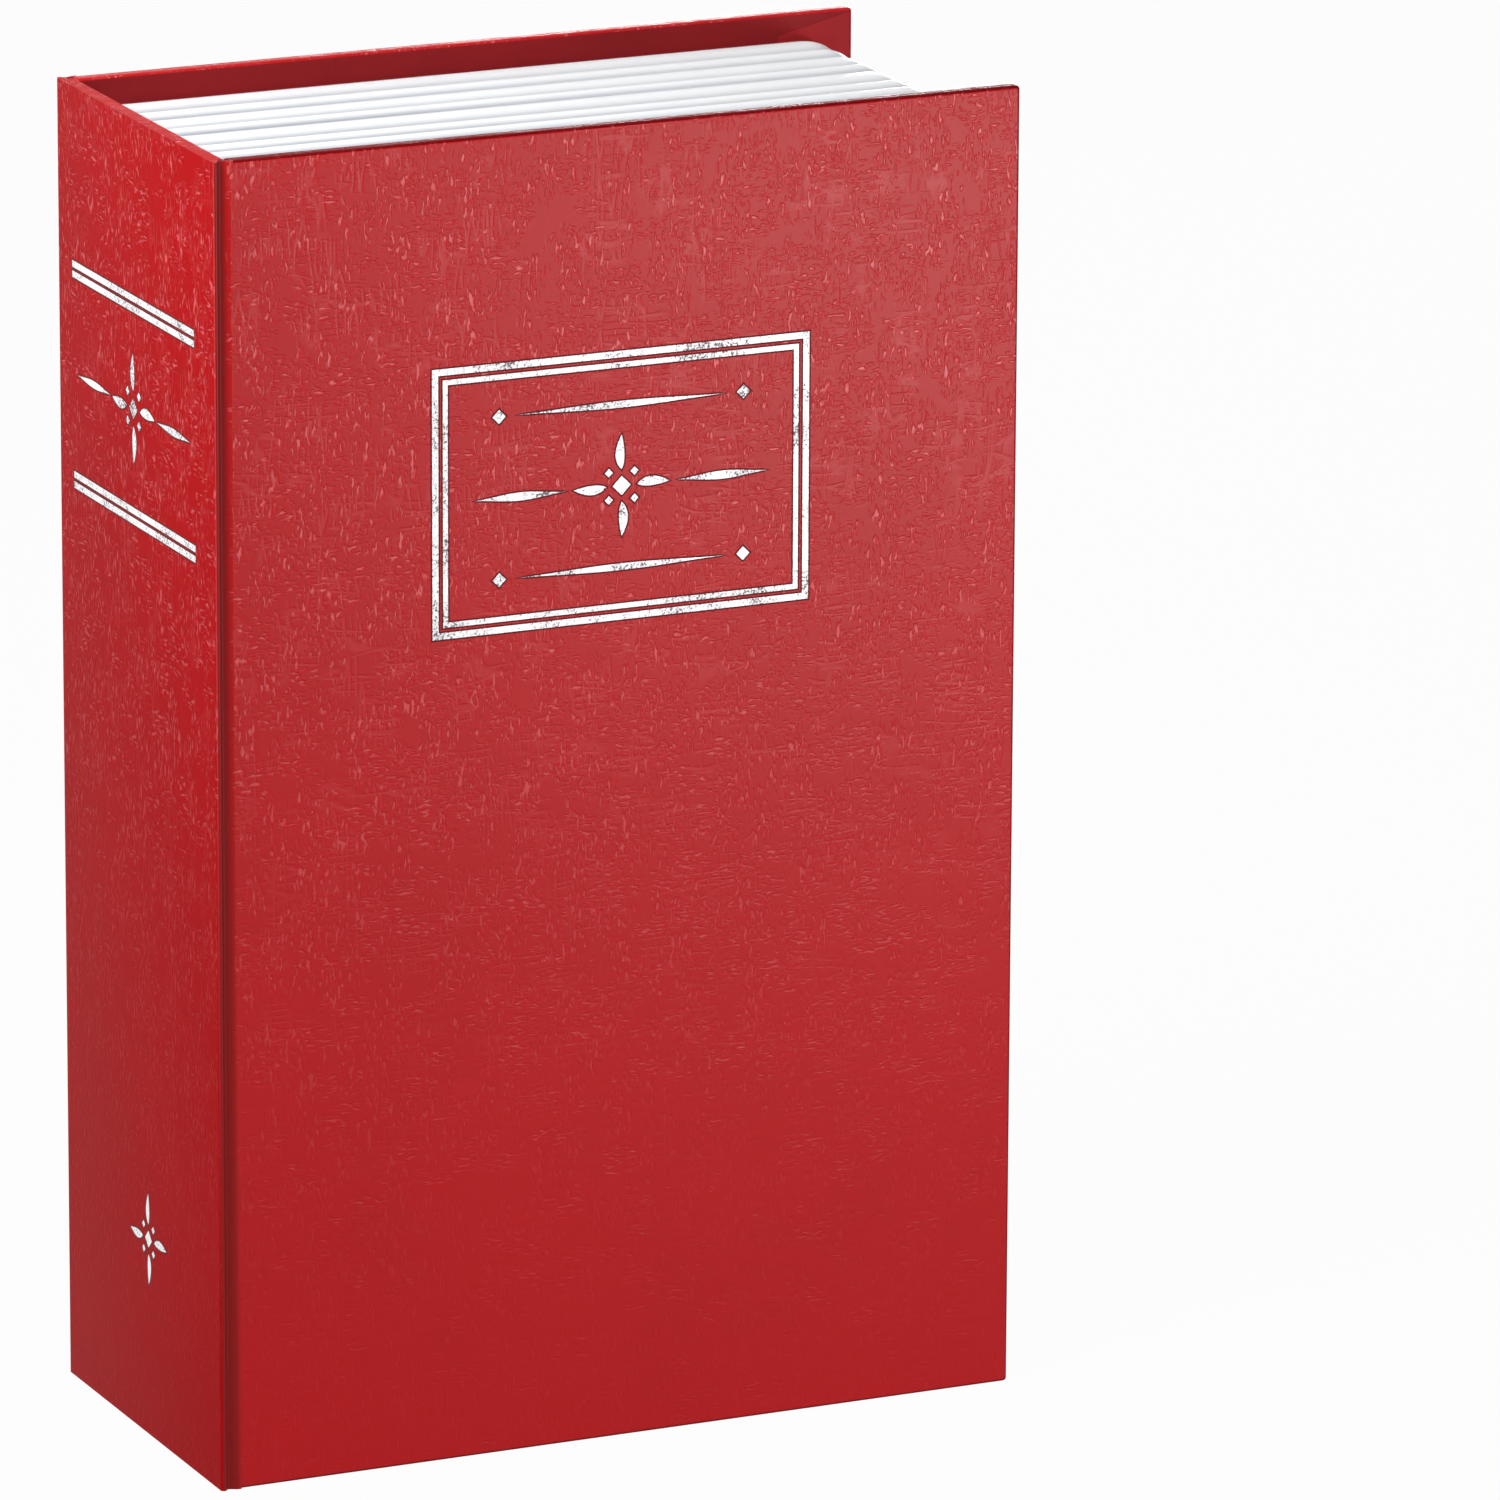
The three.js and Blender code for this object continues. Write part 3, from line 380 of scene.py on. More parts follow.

# %% [markdown]
# The film's colour is nearly even. Painted shade darkens it where it folds into the gutter beside the spine,
# more widely towards the tail, and most along the front cover's edges. A painted highlight makes the spine's
# corners paler towards the head. Those places could be painted by hand. The gutter and the corners are
# straight, so a ramp along one of the object's axes finds each of them, and it takes its ends from the book's
# own planes. The edges get a material of their own.

# %% Leatherette materials
RED = srgb(176, 14, 19)
RED_DEEP = srgb(165, 12, 17)
RED_CREST_HIGHLIGHT = srgb(224, 108, 110)
RED_GUTTER_SHADE = srgb(132, 16, 17)
RED_EDGE_SHADE = srgb(104, 8, 12)
RED_CORNER_HIGHLIGHT = srgb(206, 84, 86)
GRAIN = 0.2 * MM
CLOUD = 40 * MM
PRESSED_HEIGHT = 150 * MM
FOOT_RELIEF = 0.2
COVER_DEPTH = 0.075 * MM
SPINE_DEPTH = 0.12 * MM
COVER_GLOSS = 0.16
SPINE_GLOSS = 0.016
CORNER_HIGHLIGHT_WIDTH = 0.3 * MM
GUTTER_SHADE_FADE = 1.1 * MM
GUTTER_SHADE_TAPER = 0.8 * MM / HEIGHT


def leatherette(name, gloss, depth, film=RED, deep=RED_DEEP, pale=0.65, gutter_shade=False, corner_highlight=0.0):
    """The film. pale sets the painted highlight on the worms' crests, corner_highlight the painted highlight
    on the spine's corners, and gutter_shade the painted shade in the gutter, where it also smooths the worms.
    """
    made, start, shader = material(name)
    place = object_place(start)
    across, along, level = [start.node("SeparateXYZ", {0: place}, out=i) for i in range(3)]
    press = leather_press(start) * (level.ramp(0.0, PRESSED_HEIGHT) * (1 - FOOT_RELIEF) + FOOT_RELIEF)
    grain = spread(start, GRAIN).noise()
    cloud = spread(start, CLOUD).noise().ramp(0.3, 0.7)
    ground = (cloud * 0.4).pick(film, deep)
    # Painted shade in the gutter beside the spine: the film darkens there in a band that widens towards the
    # tail, and its worms are smoothed out.
    if gutter_shade:
        clear_of_gutter = (across + level * GUTTER_SHADE_TAPER).ramp(FRONT_LOW.x, FRONT_LOW.x + GUTTER_SHADE_FADE)
        press = press * clear_of_gutter
        ground = clear_of_gutter.pick(RED_GUTTER_SHADE, ground)
    # Painted highlight along the spine's corners, paler towards the head.
    if corner_highlight:
        corner_glint = along.math("ABSOLUTE").ramp(BACK_Y - CORNER_HIGHLIGHT_WIDTH, BACK_Y - CORNER_HIGHLIGHT_WIDTH * 0.2)
        ground = (corner_glint * level.ramp(0.0, PRESSED_HEIGHT) * corner_highlight).pick(ground, RED_CORNER_HIGHLIGHT)
    # The worms' crests are painted paler by pale: a painted highlight, which fades towards the foot with the
    # press.
    wire(start, shader, Base_Color=(press * press * pale).pick(ground, RED_CREST_HIGHLIGHT), Specular_IOR_Level=gloss)
    wire(start, shader, Roughness=0.37 - press * 0.06 + grain * 0.04)
    wire(start, shader, Normal=bump(start, grain * 0.05 - press * 0.95, depth))
    return made


LEATHERETTE = leatherette("red_leatherette", COVER_GLOSS, COVER_DEPTH, gutter_shade=True)
SPINE_LEATHERETTE = leatherette(
    "spine_leatherette", SPINE_GLOSS, SPINE_DEPTH, RED_DEEP, RED, pale=0.7, corner_highlight=0.45,
)
# The joint strips and the spine's faces in the gutter take this copy, with the same painted shade in the
# gutter.
JOINT_LEATHERETTE = leatherette("joint_gutter_shade", COVER_GLOSS, COVER_DEPTH, gutter_shade=True)
# A darker copy of the film for the front cover's edges: painted shade.
EDGE_SHADE_LEATHERETTE = leatherette("edge_painted_shade", SPINE_GLOSS, COVER_DEPTH, RED_EDGE_SHADE, RED_EDGE_SHADE, pale=0.1)
print("leatherette nodes:", len(LEATHERETTE.node_tree.nodes))

# %% [markdown]
# ## Papers and board
#
# The wrap's turned-in edges and the lining inside the covers are the same red, rubbed flat by the folding
# bone, so they are darker and smoother than the outside. A flat colour would do from far away. Close by,
# paper shows its fibres and a slight cloudiness, so one function makes both at paper's scale for all four
# sheets. The greyboard under the wrap only shows where a board is cut open, and it still gets its felted
# fibres.

# %% Papers and board


def flat_paper(name, colour, dark, roughness=0.62):
    """Paper with fibres that run up the book and a slow change of colour."""
    made, start, shader = material(name)
    fibre = spread(start, 0.5 * MM, 0.5 * MM, 1.1 * MM).noise(4.0, 0.65)
    cloud = spread(start, 22 * MM).noise().ramp(0.25, 0.75)
    wire(start, shader, Base_Color=(cloud * 0.5 + fibre * 0.3).pick(colour, dark))
    wire(start, shader, Roughness=fibre * 0.15 + (roughness - 0.08), Specular_IOR_Level=0.1)
    wire(start, shader, Normal=bump(start, fibre, 0.02 * MM))
    return made


TURN_IN = flat_paper("turned_in_wrap", srgb(140, 27, 31), srgb(118, 22, 26))
FLAP = flat_paper("last_flap", srgb(158, 31, 35), srgb(138, 28, 32))
LINING = flat_paper("lining_paper", srgb(126, 24, 27), srgb(104, 20, 23), roughness=0.7)
GREYBOARD = flat_paper("raw_greyboard", srgb(150, 146, 138), srgb(122, 118, 110), roughness=0.9)


def finish_nodes(finish, *nodes):
    """Gives CAD nodes a material made here."""
    for node in nodes:
        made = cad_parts[node]
        made.data.materials.clear()
        made.data.materials.append(finish)


finish_nodes(GREYBOARD, "spine_board", "back_board", "front_board")
finish_nodes(LINING, "front_lining", "back_lining")
print("papers:", [made.name for made in (TURN_IN, FLAP, LINING, GREYBOARD)])

# %% [markdown]
# ## Meshes
#
# A mesh could be made by Blender's own operators on a cube, but those need a selection and a mode. A bmesh
# takes plain points, and several forms can be joined in it before it becomes an object.

# %% Objects from a bmesh


def placed(name, mesh_data, finish):
    """An object from a bmesh, with one material."""
    data = bpy.data.meshes.new(name)
    mesh_data.to_mesh(data)
    mesh_data.free()
    made = bpy.data.objects.new(name, data)
    bpy.context.collection.objects.link(made)
    data.materials.append(finish)
    return made


def finished(name, mesh_data, finish, smooth_angle=40):
    """The same, with its faces turned out and smooth except at sharp edges."""
    bmesh.ops.recalc_face_normals(mesh_data, faces=mesh_data.faces)
    made = placed(name, mesh_data, finish)
    made.data.shade_smooth()
    made.data.set_sharp_from_angle(angle=math.radians(smooth_angle))
    return made


# %% [markdown]
# Most pieces here are one of three closed forms: a chain of rings that match point to point, a section run
# along an axis, or a box with rounded edges. The second is a chain of two rings. The third is a cube with a
# bevel, since rings can't easily round all its corners.

# %% Rings, prisms and blocks


def add_rings(mesh_data, rings, closed=False):
    """Adds a skin through rings of points. Open chains get flat ends."""
    loops = [[mesh_data.verts.new(point) for point in ring] for ring in rings]
    count = len(loops[0])
    pairs = list(zip(loops, loops[1:] + loops[:1])) if closed else list(zip(loops, loops[1:]))
    for low, high in pairs:
        for i in range(count):
            j = (i + 1) % count
            mesh_data.faces.new((low[i], low[j], high[j], high[i]))
    if not closed:
        mesh_data.faces.new(reversed(loops[0]))
        mesh_data.faces.new(loops[-1])


def add_prism(mesh_data, outline, low, high, axis="Z"):
    """Adds an outline of two-number points, run along an axis from low to high."""
    def place(a, b, c):
        return {"Z": (a, b, c), "Y": (a, c, b), "X": (c, a, b)}[axis]
    add_rings(mesh_data, [[place(a, b, level) for a, b in outline] for level in (low, high)])


def add_block(mesh_data, low, high, radius=0.0, segments=3):
    """Adds a box between two corners, with rounded edges."""
    size = Vector(high) - Vector(low)
    centre = (Vector(high) + Vector(low)) / 2
    matrix = Matrix.Translation(centre) @ Matrix.Diagonal((*size, 1))
    made = bmesh.ops.create_cube(mesh_data, size=1.0, matrix=matrix)
    if radius:
        edges = list({edge for vert in made["verts"] for edge in vert.link_edges})
        bmesh.ops.bevel(
            mesh_data, geom=edges, offset=radius, segments=segments, profile=0.5, affect="EDGES",
        )


print("three closed forms:", [form.__name__ for form in (add_rings, add_prism, add_block)])

# %% [markdown]
# Outlines are lists of points. Blender's curve objects could draw them, but points from a formula can be
# mirrored, joined and counted before they become a mesh, which the sections below need.

# %% Curves for outlines


def arc(centre, radius, start_angle, end_angle, steps):
    """Points along an arc, ends included, with angles in degrees."""
    turns = [math.radians(start_angle + (end_angle - start_angle) * i / steps) for i in range(steps + 1)]
    return [(centre[0] + radius * math.cos(t), centre[1] + radius * math.sin(t)) for t in turns]


def bezier(p0, p1, p2, p3, steps):
    """Points along a cubic curve, ends included."""
    points = []
    for i in range(steps + 1):
        t = i / steps
        weights = ((1 - t) ** 3, 3 * t * (1 - t) ** 2, 3 * t * t * (1 - t), t ** 3)
        points.append(tuple(sum(w * p[k] for w, p in zip(weights, (p0, p1, p2, p3))) for k in (0, 1)))
    return points


def circle(centre, radius, count):
    """Points round a circle, each once."""
    return arc(centre, radius, 0, 360 - 360 / count, count - 1)


def rounded_outline(centre, width, height, radius, steps=6):
    """A rectangle with round corners, counter-clockwise."""
    points = []
    for sx, sy, start_angle in ((1, 1, 0), (-1, 1, 90), (-1, -1, 180), (1, -1, 270)):
        corner = (centre[0] + sx * (width / 2 - radius), centre[1] + sy * (height / 2 - radius))
        points += arc(corner, radius, start_angle, start_angle + 90, steps)
    return points


print("a quarter turn in 2 steps:", [(round(x, 2), round(y, 2)) for x, y in arc((0, 0), 1, 0, 90, 2)])

# %% [markdown]
# Windows and pockets are cut by a Boolean modifier, which is baked at once, so that the next step finds
# plain faces. A flat face beside a rounded edge would pick up a false shine from it. Weighting the normals
# by area keeps it flat, and costs no faces.

# %% Cuts and shading


def bake_modifiers(target):
    """Replaces a mesh by what its modifiers make of it."""
    graph = bpy.context.evaluated_depsgraph_get()
    shaped = target.evaluated_get(graph)
    data = bpy.data.meshes.new_from_object(shaped, preserve_all_data_layers=True, depsgraph=graph)
    target.modifiers.clear()
    target.data = data


def carve(target, cutter):
    """Cuts one mesh from another, and deletes the cutter."""
    cut = target.modifiers.new("cut", "BOOLEAN")
    cut.object = cutter
    cut.solver = "EXACT"
    bake_modifiers(target)
    bpy.data.objects.remove(cutter)


def even_shading(target):
    """Weights a piece's normals by the area of its faces, so that flat faces shade flat to their bevels."""
    weighted = target.modifiers.new("weighted", "WEIGHTED_NORMAL")
    weighted.keep_sharp = True
    bake_modifiers(target)


print("helpers for cuts and shading:", [helper.__name__ for helper in (bake_modifiers, carve, even_shading)])

# %% [markdown]
# ## The covers
#
# Each cover is a board in its wrap. The outside is a slab with edges rounded by the wrap's own thickness.
# On the inside the wrap is turned in by about 11 mm and the lining paper fills the window that is left. The
# turn-in along the fore edge was folded last, so at the corners it lies on the other two, with a slanting
# edge.
#
# The turned-in wrap could be four strips laid on the board. It is cut out of the slab instead, by a box the
# size of the lining, so that outside and turn-in stay one skin as they are on the real cover.

# %% Cover boards
WRAP_EDGE_RADIUS = 0.5 * MM
WRAP_EDGE_STEPS = 4
TURN_IN_DEPTH = 0.3 * MM
CUTTER_REACH = 2 * MM
FLAP_PROUD = 0.1 * MM
FLAP_EDGE_GAP = 0.5 * MM
FLAP_SLANT = 3.0 * MM


def cover_skin(name, low, high, inner_side, window_low, window_high, edge_finish, body, node):
    """A wrapped board whose inner face, at inner_side of 1 or -1 along Y, has the lining's window."""
    mesh_data = bmesh.new()
    add_block(mesh_data, low, high, WRAP_EDGE_RADIUS, WRAP_EDGE_STEPS)
    skin = finished(name, mesh_data, LEATHERETTE)
    inner_y = high.y if inner_side > 0 else low.y
    near, far = sorted((inner_y - inner_side * TURN_IN_DEPTH, inner_y + inner_side * CUTTER_REACH))
    mesh_data = bmesh.new()
    add_block(mesh_data, (window_low.x, near, window_low.z), (window_high.x, far, window_high.z))
    carve(skin, finished("window", mesh_data, TURN_IN))
    outline = [
        (high.x - FLAP_EDGE_GAP, low.z + FLAP_EDGE_GAP),
        (high.x - FLAP_EDGE_GAP, high.z - FLAP_EDGE_GAP),
        (window_high.x, high.z - FLAP_SLANT),
        (window_high.x, low.z + FLAP_SLANT),
    ]
    under, top = inner_y - inner_side * TURN_IN_DEPTH / 2, inner_y + inner_side * FLAP_PROUD
    mesh_data = bmesh.new()
    add_prism(mesh_data, outline, under, top, "Y")
    flap = finished(name + "_flap", mesh_data, FLAP)
    skin.data.materials.clear()
    for finish in (LEATHERETTE, TURN_IN, edge_finish):
        skin.data.materials.append(finish)
    # Faces that turn away from both flat sides take edge_finish, which on the front cover is painted shade.
    for face in skin.data.polygons:
        inward = face.normal.y * inner_side
        face.material_index = 1 if inward > 0.9 else 0 if inward < -0.97 else 2
    even_shading(skin)
    for piece in (skin, flap):
        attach(piece, body)
    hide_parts(node)
    return skin


front_skin = cover_skin(
    "front_cover", FRONT_LOW, FRONT_HIGH, 1, FRONT_LINING_LOW, FRONT_LINING_HIGH,
    EDGE_SHADE_LEATHERETTE, "cover", "front_wrap",
)
back_skin = cover_skin(
    "back_cover", BACK_LOW, BACK_HIGH, -1, BACK_LINING_LOW, BACK_LINING_HIGH,
    LEATHERETTE, "book", "back_wrap",
)
print("cover faces:", len(front_skin.data.polygons), len(back_skin.data.polygons))

# %% [markdown]
# ## The spine and its joints
#
# The spine's leatherette rounds the corner and dips into the gutter on each side. It could be a box with a
# bevel, but a bevel can't dip, so its section is drawn once with an arc and a curve, and run up the book.

# %% Spine
SPINE_CORNER = 0.45 * MM
GUTTER_DIP = 0.5 * MM
DIP_PULL = 0.3 * MM
SPINE_INNER_X = SPINE_HIGH.x


def spine_outline():
    """The spine's section from the front gutter round the outside to the back gutter."""
    r = SPINE_CORNER
    front = bezier(
        (GUTTER_X, FRONT_Y + GUTTER_DIP),
        (GUTTER_X - DIP_PULL, FRONT_Y + GUTTER_DIP),
        (SPINE_X + r + DIP_PULL, FRONT_Y),
        (SPINE_X + r, FRONT_Y),
        8,
    )
    front += arc((SPINE_X + r, FRONT_Y + r), r, -90, -180, 6)[1:]
    back = [(x, -y) for x, y in reversed(front)]
    inner = SPINE_LOW.y
    return front + back + [
        (GUTTER_X, -inner), (SPINE_INNER_X, -inner), (SPINE_INNER_X, inner), (GUTTER_X, inner),
    ]


mesh_data = bmesh.new()
add_prism(mesh_data, spine_outline(), 0, HEIGHT)
spine_skin = finished("spine", mesh_data, SPINE_LEATHERETTE, 50)
spine_skin.data.materials.append(JOINT_LEATHERETTE)
# Faces in the gutter take the joint's material, with its painted shade.
for face in spine_skin.data.polygons:
    dips = face.center.x > SPINE_X + 0.5 * SPINE_CORNER and abs(face.normal.z) < 0.5
    face.material_index = 1 if dips else 0
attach(spine_skin, "book")
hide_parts("spine_wrap")
print("spine:", len(spine_skin.data.polygons), "faces")

# %% [markdown]
# From the bottom of the gutter the leatherette climbs onto the cover. This stretch is the cover's hinge. It
# has to bend, which neither the spine nor the cover does, so it is a strip of its own. It tucks under the
# spine's skin and runs out over the cover's rounded edge. The back cover has the same strip, which stays
# still.

# %% Joint strips
CLOTH = 0.3 * MM
STRIP_PROUD = 0.005 * MM
STRIP_TUCK = 0.25 * MM
STRIP_SINK = 0.05 * MM
STRIP_LEVELS = 24


def joint_strip(name, side, node):
    """The strip from a gutter's bottom to a cover: side is -1 for the front and 1 for the back."""
    outer = -BACK_Y
    line = [(GUTTER_X - STRIP_TUCK, outer + GUTTER_DIP + STRIP_SINK)]
    line += bezier(
        (GUTTER_X, outer + GUTTER_DIP),
        (GUTTER_X + 0.5 * MM, outer + GUTTER_DIP),
        (FRONT_LOW.x - 0.2 * MM, outer - STRIP_PROUD),
        (FRONT_LOW.x + WRAP_EDGE_RADIUS, outer - STRIP_PROUD),
        16,
    )
    line.append((FRONT_LOW.x + WRAP_EDGE_RADIUS + STRIP_TUCK, outer + STRIP_SINK))
    under = [(x, y + CLOTH) for x, y in reversed(line)]
    outline = [(x, -side * y) for x, y in line + under]
    mesh_data = bmesh.new()
    levels = [HEIGHT * i / STRIP_LEVELS for i in range(STRIP_LEVELS + 1)]
    add_rings(mesh_data, [[(x, y, z) for x, y in outline] for z in levels])
    strip = finished(name, mesh_data, JOINT_LEATHERETTE, 60)
    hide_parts(node)
    return strip


front_joint = joint_strip("front_joint", -1, "front_joint_cloth")
back_joint = joint_strip("back_joint", 1, "back_joint_cloth")
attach(back_joint, "book")
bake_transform(front_joint)
print("joints:", len(front_joint.data.polygons), len(back_joint.data.polygons), "faces")

# %% [markdown]
# ## The page block
#
# No leaf of this book turns: the pages are one white moulding, ridged on its head, fore edge and tail like
# gatherings of leaves. A bump in the material could draw the ridges, but their outline would stay straight.
# So a section of crowns and grooves is carried round the block. The ridges turn the two rounded corners and
# give them their scalloped outline.

# %% Page section
PAGE_CORNER = 5.0 * MM
PAGE_WALL = 1.8 * MM
BOX_CORNER = 2.1 * MM
GROOVE_DEPTH = 0.9 * MM
GROOVE_SHARES = [0.7, 1, 0.85, 0.7, 0.6, 0.75, 0.55, 0.65, 0.55, 0.6]
GATHERING_SHARES = [1.7, 1.2, 0.9, 0.8, 1.4, 0.7, 1.2, 0.9, 1.2]
GROOVE_REACH_SHARE = 0.29
GROOVE_SLOPE = 1.2
CROWN = 0.16 * MM
EDGE_STEPS = 20
CROWN_STEPS = [0, 0.03, 0.07, 0.13, 0.22, 0.35, 0.5, 0.65, 0.78, 0.87, 0.93, 0.97]


def groove_fall(t):
    """How much of a groove's depth is left at a share t of a gathering's width from it."""
    return math.exp(-((t / GROOVE_REACH_SHARE) ** GROOVE_SLOPE))


def crown_line():
    """The section's outer line, as pairs of depth below the crowns and place from front to back."""
    low, high = PAGES_LOW.y, PAGES_HIGH.y
    unit = (high - low) / sum(GATHERING_SHARES)
    line = []
    y = low
    for i, share in enumerate(GATHERING_SHARES):
        width = unit * share
        for t in CROWN_STEPS:
            groove = max(GROOVE_SHARES[i] * groove_fall(t), GROOVE_SHARES[i + 1] * groove_fall(1 - t))
            crown = CROWN * (2 * t - 1) ** 4 * share / max(GATHERING_SHARES)
            line.append((GROOVE_DEPTH * groove + crown, y + t * width))
        y += width
    line.append((GROOVE_DEPTH * GROOVE_SHARES[-1], high))
    return line


def page_stations(steps=14):
    """Round the block from the spine's end of the head: outer point, inner point and inward direction."""
    outer_x, outer_z = PAGES_HIGH.x - PAGE_CORNER, PAGES_HIGH.z - PAGE_CORNER
    inner_x, inner_z = PAGES_HIGH.x - PAGE_WALL - BOX_CORNER, PAGES_HIGH.z - PAGE_WALL - BOX_CORNER
    start_x = PAGES_LOW.x
    stations = []
    for i in range(EDGE_STEPS):
        x = start_x + (outer_x - start_x) * i / EDGE_STEPS
        stations.append(((x, PAGES_HIGH.z), (x, PAGES_HIGH.z - PAGE_WALL), (0, -1)))
    for i in range(steps + 1):
        c, s = math.cos(math.pi / 2 * (1 - i / steps)), math.sin(math.pi / 2 * (1 - i / steps))
        outer = (outer_x + PAGE_CORNER * c, outer_z + PAGE_CORNER * s)
        inner = (inner_x + BOX_CORNER * c, inner_z + BOX_CORNER * s)
        stations.append((outer, inner, (-c, -s)))
    ends = PAGES_HIGH.z + PAGES_LOW.z
    below = []
    for outer, inner, inward in reversed(stations):
        below.append(((outer[0], ends - outer[1]), (inner[0], ends - inner[1]), (inward[0], -inward[1])))
    return stations + below


print("page section:", len(crown_line()), "points, carried to", len(page_stations()), "stations")

# %% [markdown]
# The moulding is a cool white, and its grooves get painted shade, strongest near the spine. Ambient
# occlusion could find the grooves, but it is slow and would darken the pages beside the covers too. The
# section knows how deep each of its points lies. That depth is kept with the mesh, and the material reads
# it back.

# %% Page block
PAGE_WHITE = srgb(243, 244, 246)
PAGE_SHADE = srgb(150, 154, 161)


def page_material():
    """A white moulding with fine lines like leaves, faint marks of the mould, and painted shade in its
    grooves.
    """
    made, start, shader = material("moulded_pages")
    groove = start.node("Attribute", out=2, attribute_name="groove")
    leaf_lines = spread(start, 30 * MM, 0.34 * MM, 30 * MM).noise(2.0, 0.6)
    mould_marks = spread(start, 9 * MM).noise(3.0).ramp(0.35, 0.7)
    across = start.node("SeparateXYZ", {0: object_place(start)}, out=0)
    # This weighs the grooves' painted shade: stronger towards the spine, weaker towards the fore edge.
    dust = 1.25 - across.ramp(PAGES_LOW.x, PAGES_HIGH.x - PAGE_CORNER) * 0.4
    tone = groove.ramp(0.0, 0.8) * dust * 0.8 + (1 - leaf_lines) * 0.06 + mould_marks * 0.03
    wire(start, shader, Base_Color=tone.pick(PAGE_WHITE, PAGE_SHADE))
    wire(start, shader, Roughness=leaf_lines * 0.1 + 0.42)
    wire(start, shader, Normal=bump(start, leaf_lines, 0.05 * MM))
    return made


line = crown_line()
rings = []
depths = []
for (outer_x, outer_z), (inner_x, inner_z), (nx, nz) in page_stations():
    ring = [(outer_x + nx * depth, y, outer_z + nz * depth) for depth, y in line]
    ring += [(inner_x, PAGES_HIGH.y, inner_z), (inner_x, PAGES_LOW.y, inner_z)]
    rings.append(ring)
    depths += [min(1.0, depth / GROOVE_DEPTH) for depth, _ in line] + [0.0, 0.0]
mesh_data = bmesh.new()
add_rings(mesh_data, rings)
pages = finished("pages", mesh_data, page_material(), 55)
groove = pages.data.attributes.new("groove", "FLOAT", "POINT")
groove.data.foreach_set("value", depths)
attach(pages, "book")
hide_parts("page_block")
print("page ridges:", len(GATHERING_SHARES), "on", len(rings), "stations")

# %% [markdown]
# ## Silver foil
#
# The ornaments are hot-stamped: a heated die presses metal foil into the leatherette. So each figure is a
# thin layer that follows the wrinkles below, with a narrow dark border round it, which is painted shade. The
# foil is thin where the wrinkles kept the die off. The spine's foil and its tarnish are painted brighter
# than the front's: one foil in a lighter and a darker copy, which even out how the lamps light them.
#
# A full metal would turn dark wherever it mirrors something dim. So the foil is only half metallic, and
# stays silver from every side.

# %% Foil materials
WORN_FOIL = srgb(96, 78, 82)


def foil_material(name, bright, tarnished):
    """Foil worn through in fine grains, and tarnished in patches, with the wrinkles of the film below."""
    made, start, shader = material(name)
    press = leather_press(start)
    grain = spread(start, 0.3 * MM).noise(3.0, 0.6)
    patches = spread(start, 5 * MM).noise(2.0)
    worn = (grain + patches * 0.6).ramp(0.86, 0.98)
    silver = (patches.ramp(0.35, 0.75) * 0.4).pick(bright, tarnished)
    wire(start, shader, Base_Color=worn.pick(silver, WORN_FOIL), Metallic=0.5 - worn * 0.5)
    wire(start, shader, Roughness=grain * 0.2 + 0.42)
    wire(start, shader, Normal=bump(start, grain * 0.3 - press * 0.7, 0.07 * MM))
    return made


# Lighter and darker copies of one foil: the spine's is painted brighter and the front's darker, to even out
# how the lamps light them.
FRONT_FOIL_DIMMED = foil_material("front_foil_dimmed", srgb(212, 211, 212), srgb(160, 163, 168))
SPINE_FOIL_BRIGHTENED = foil_material("spine_foil_brightened", srgb(250, 249, 250), srgb(216, 218, 222))
# The border is painted shade round each figure.
DEBOSS_SHADE_BORDER = flat_paper("deboss_painted_shade", srgb(104, 18, 22), srgb(82, 14, 17), roughness=0.55)
print("foils:", FRONT_FOIL_DIMMED.name, "and", SPINE_FOIL_BRIGHTENED.name)

# %% [markdown]
# The figures could be a painted mask in the leatherette, but a mask is only as sharp as its pixels.
# Outlines stay sharp at any distance. Each figure is drawn once and laid down twice: wide and dark for the
# border of painted shade, then exact in silver.

# %% Laying figures down
BORDER = 0.22 * MM
BORDER_PROUD = 0.006 * MM
FOIL_PROUD = 0.014 * MM


def ring_of(outline, other):
    """Two matching outlines as one band of quads."""
    count = len(outline)
    return [[outline[i], outline[(i + 1) % count], other[(i + 1) % count], other[i]] for i in range(count)]


def widened(outline, by):
    """An outline moved outwards along its corner normals."""
    before, after = outline[-1:] + outline[:-1], outline[1:] + outline[:1]
    area = sum(x * v - u * y for (x, y), (u, v) in zip(outline, after))
    side = 1 if area > 0 else -1
    made = []
    for (ax, ay), (x, y), (u, v) in zip(before, outline, after):
        first = Vector((y - ay, ax - x)).normalized() * side
        second = Vector((v - y, x - u)).normalized() * side
        turn = (first + second).normalized()
        reach = by / max(0.5, turn.dot(first))
        made.append((x + turn.x * reach, y + turn.y * reach))
    return made


def stamped(name, figures, place, body, foil):
    """Lays figures down on a body. Each is a closed outline, or a pair of an outer and an inner one.

    place turns (across, up, proud) into a point.
    """
    layers = (("border", BORDER, BORDER_PROUD, DEBOSS_SHADE_BORDER), ("foil", 0.0, FOIL_PROUD, foil))
    for kind, grow, proud, finish in layers:
        mesh_data = bmesh.new()
        for figure in figures:
            if isinstance(figure[0][0], (list, tuple)):
                faces = ring_of(widened(figure[0], grow), widened(figure[1], -grow))
            else:
                faces = [widened(figure, grow)]
            for face in faces:
                mesh_data.faces.new([mesh_data.verts.new(place(a, b, proud)) for a, b in face])
        bmesh.ops.remove_doubles(mesh_data, verts=mesh_data.verts, dist=1e-6)
        bmesh.ops.triangulate(mesh_data, faces=[face for face in mesh_data.faces if len(face.verts) > 4])
        laid = placed(name + "_" + kind, mesh_data, finish)
        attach(laid, body)


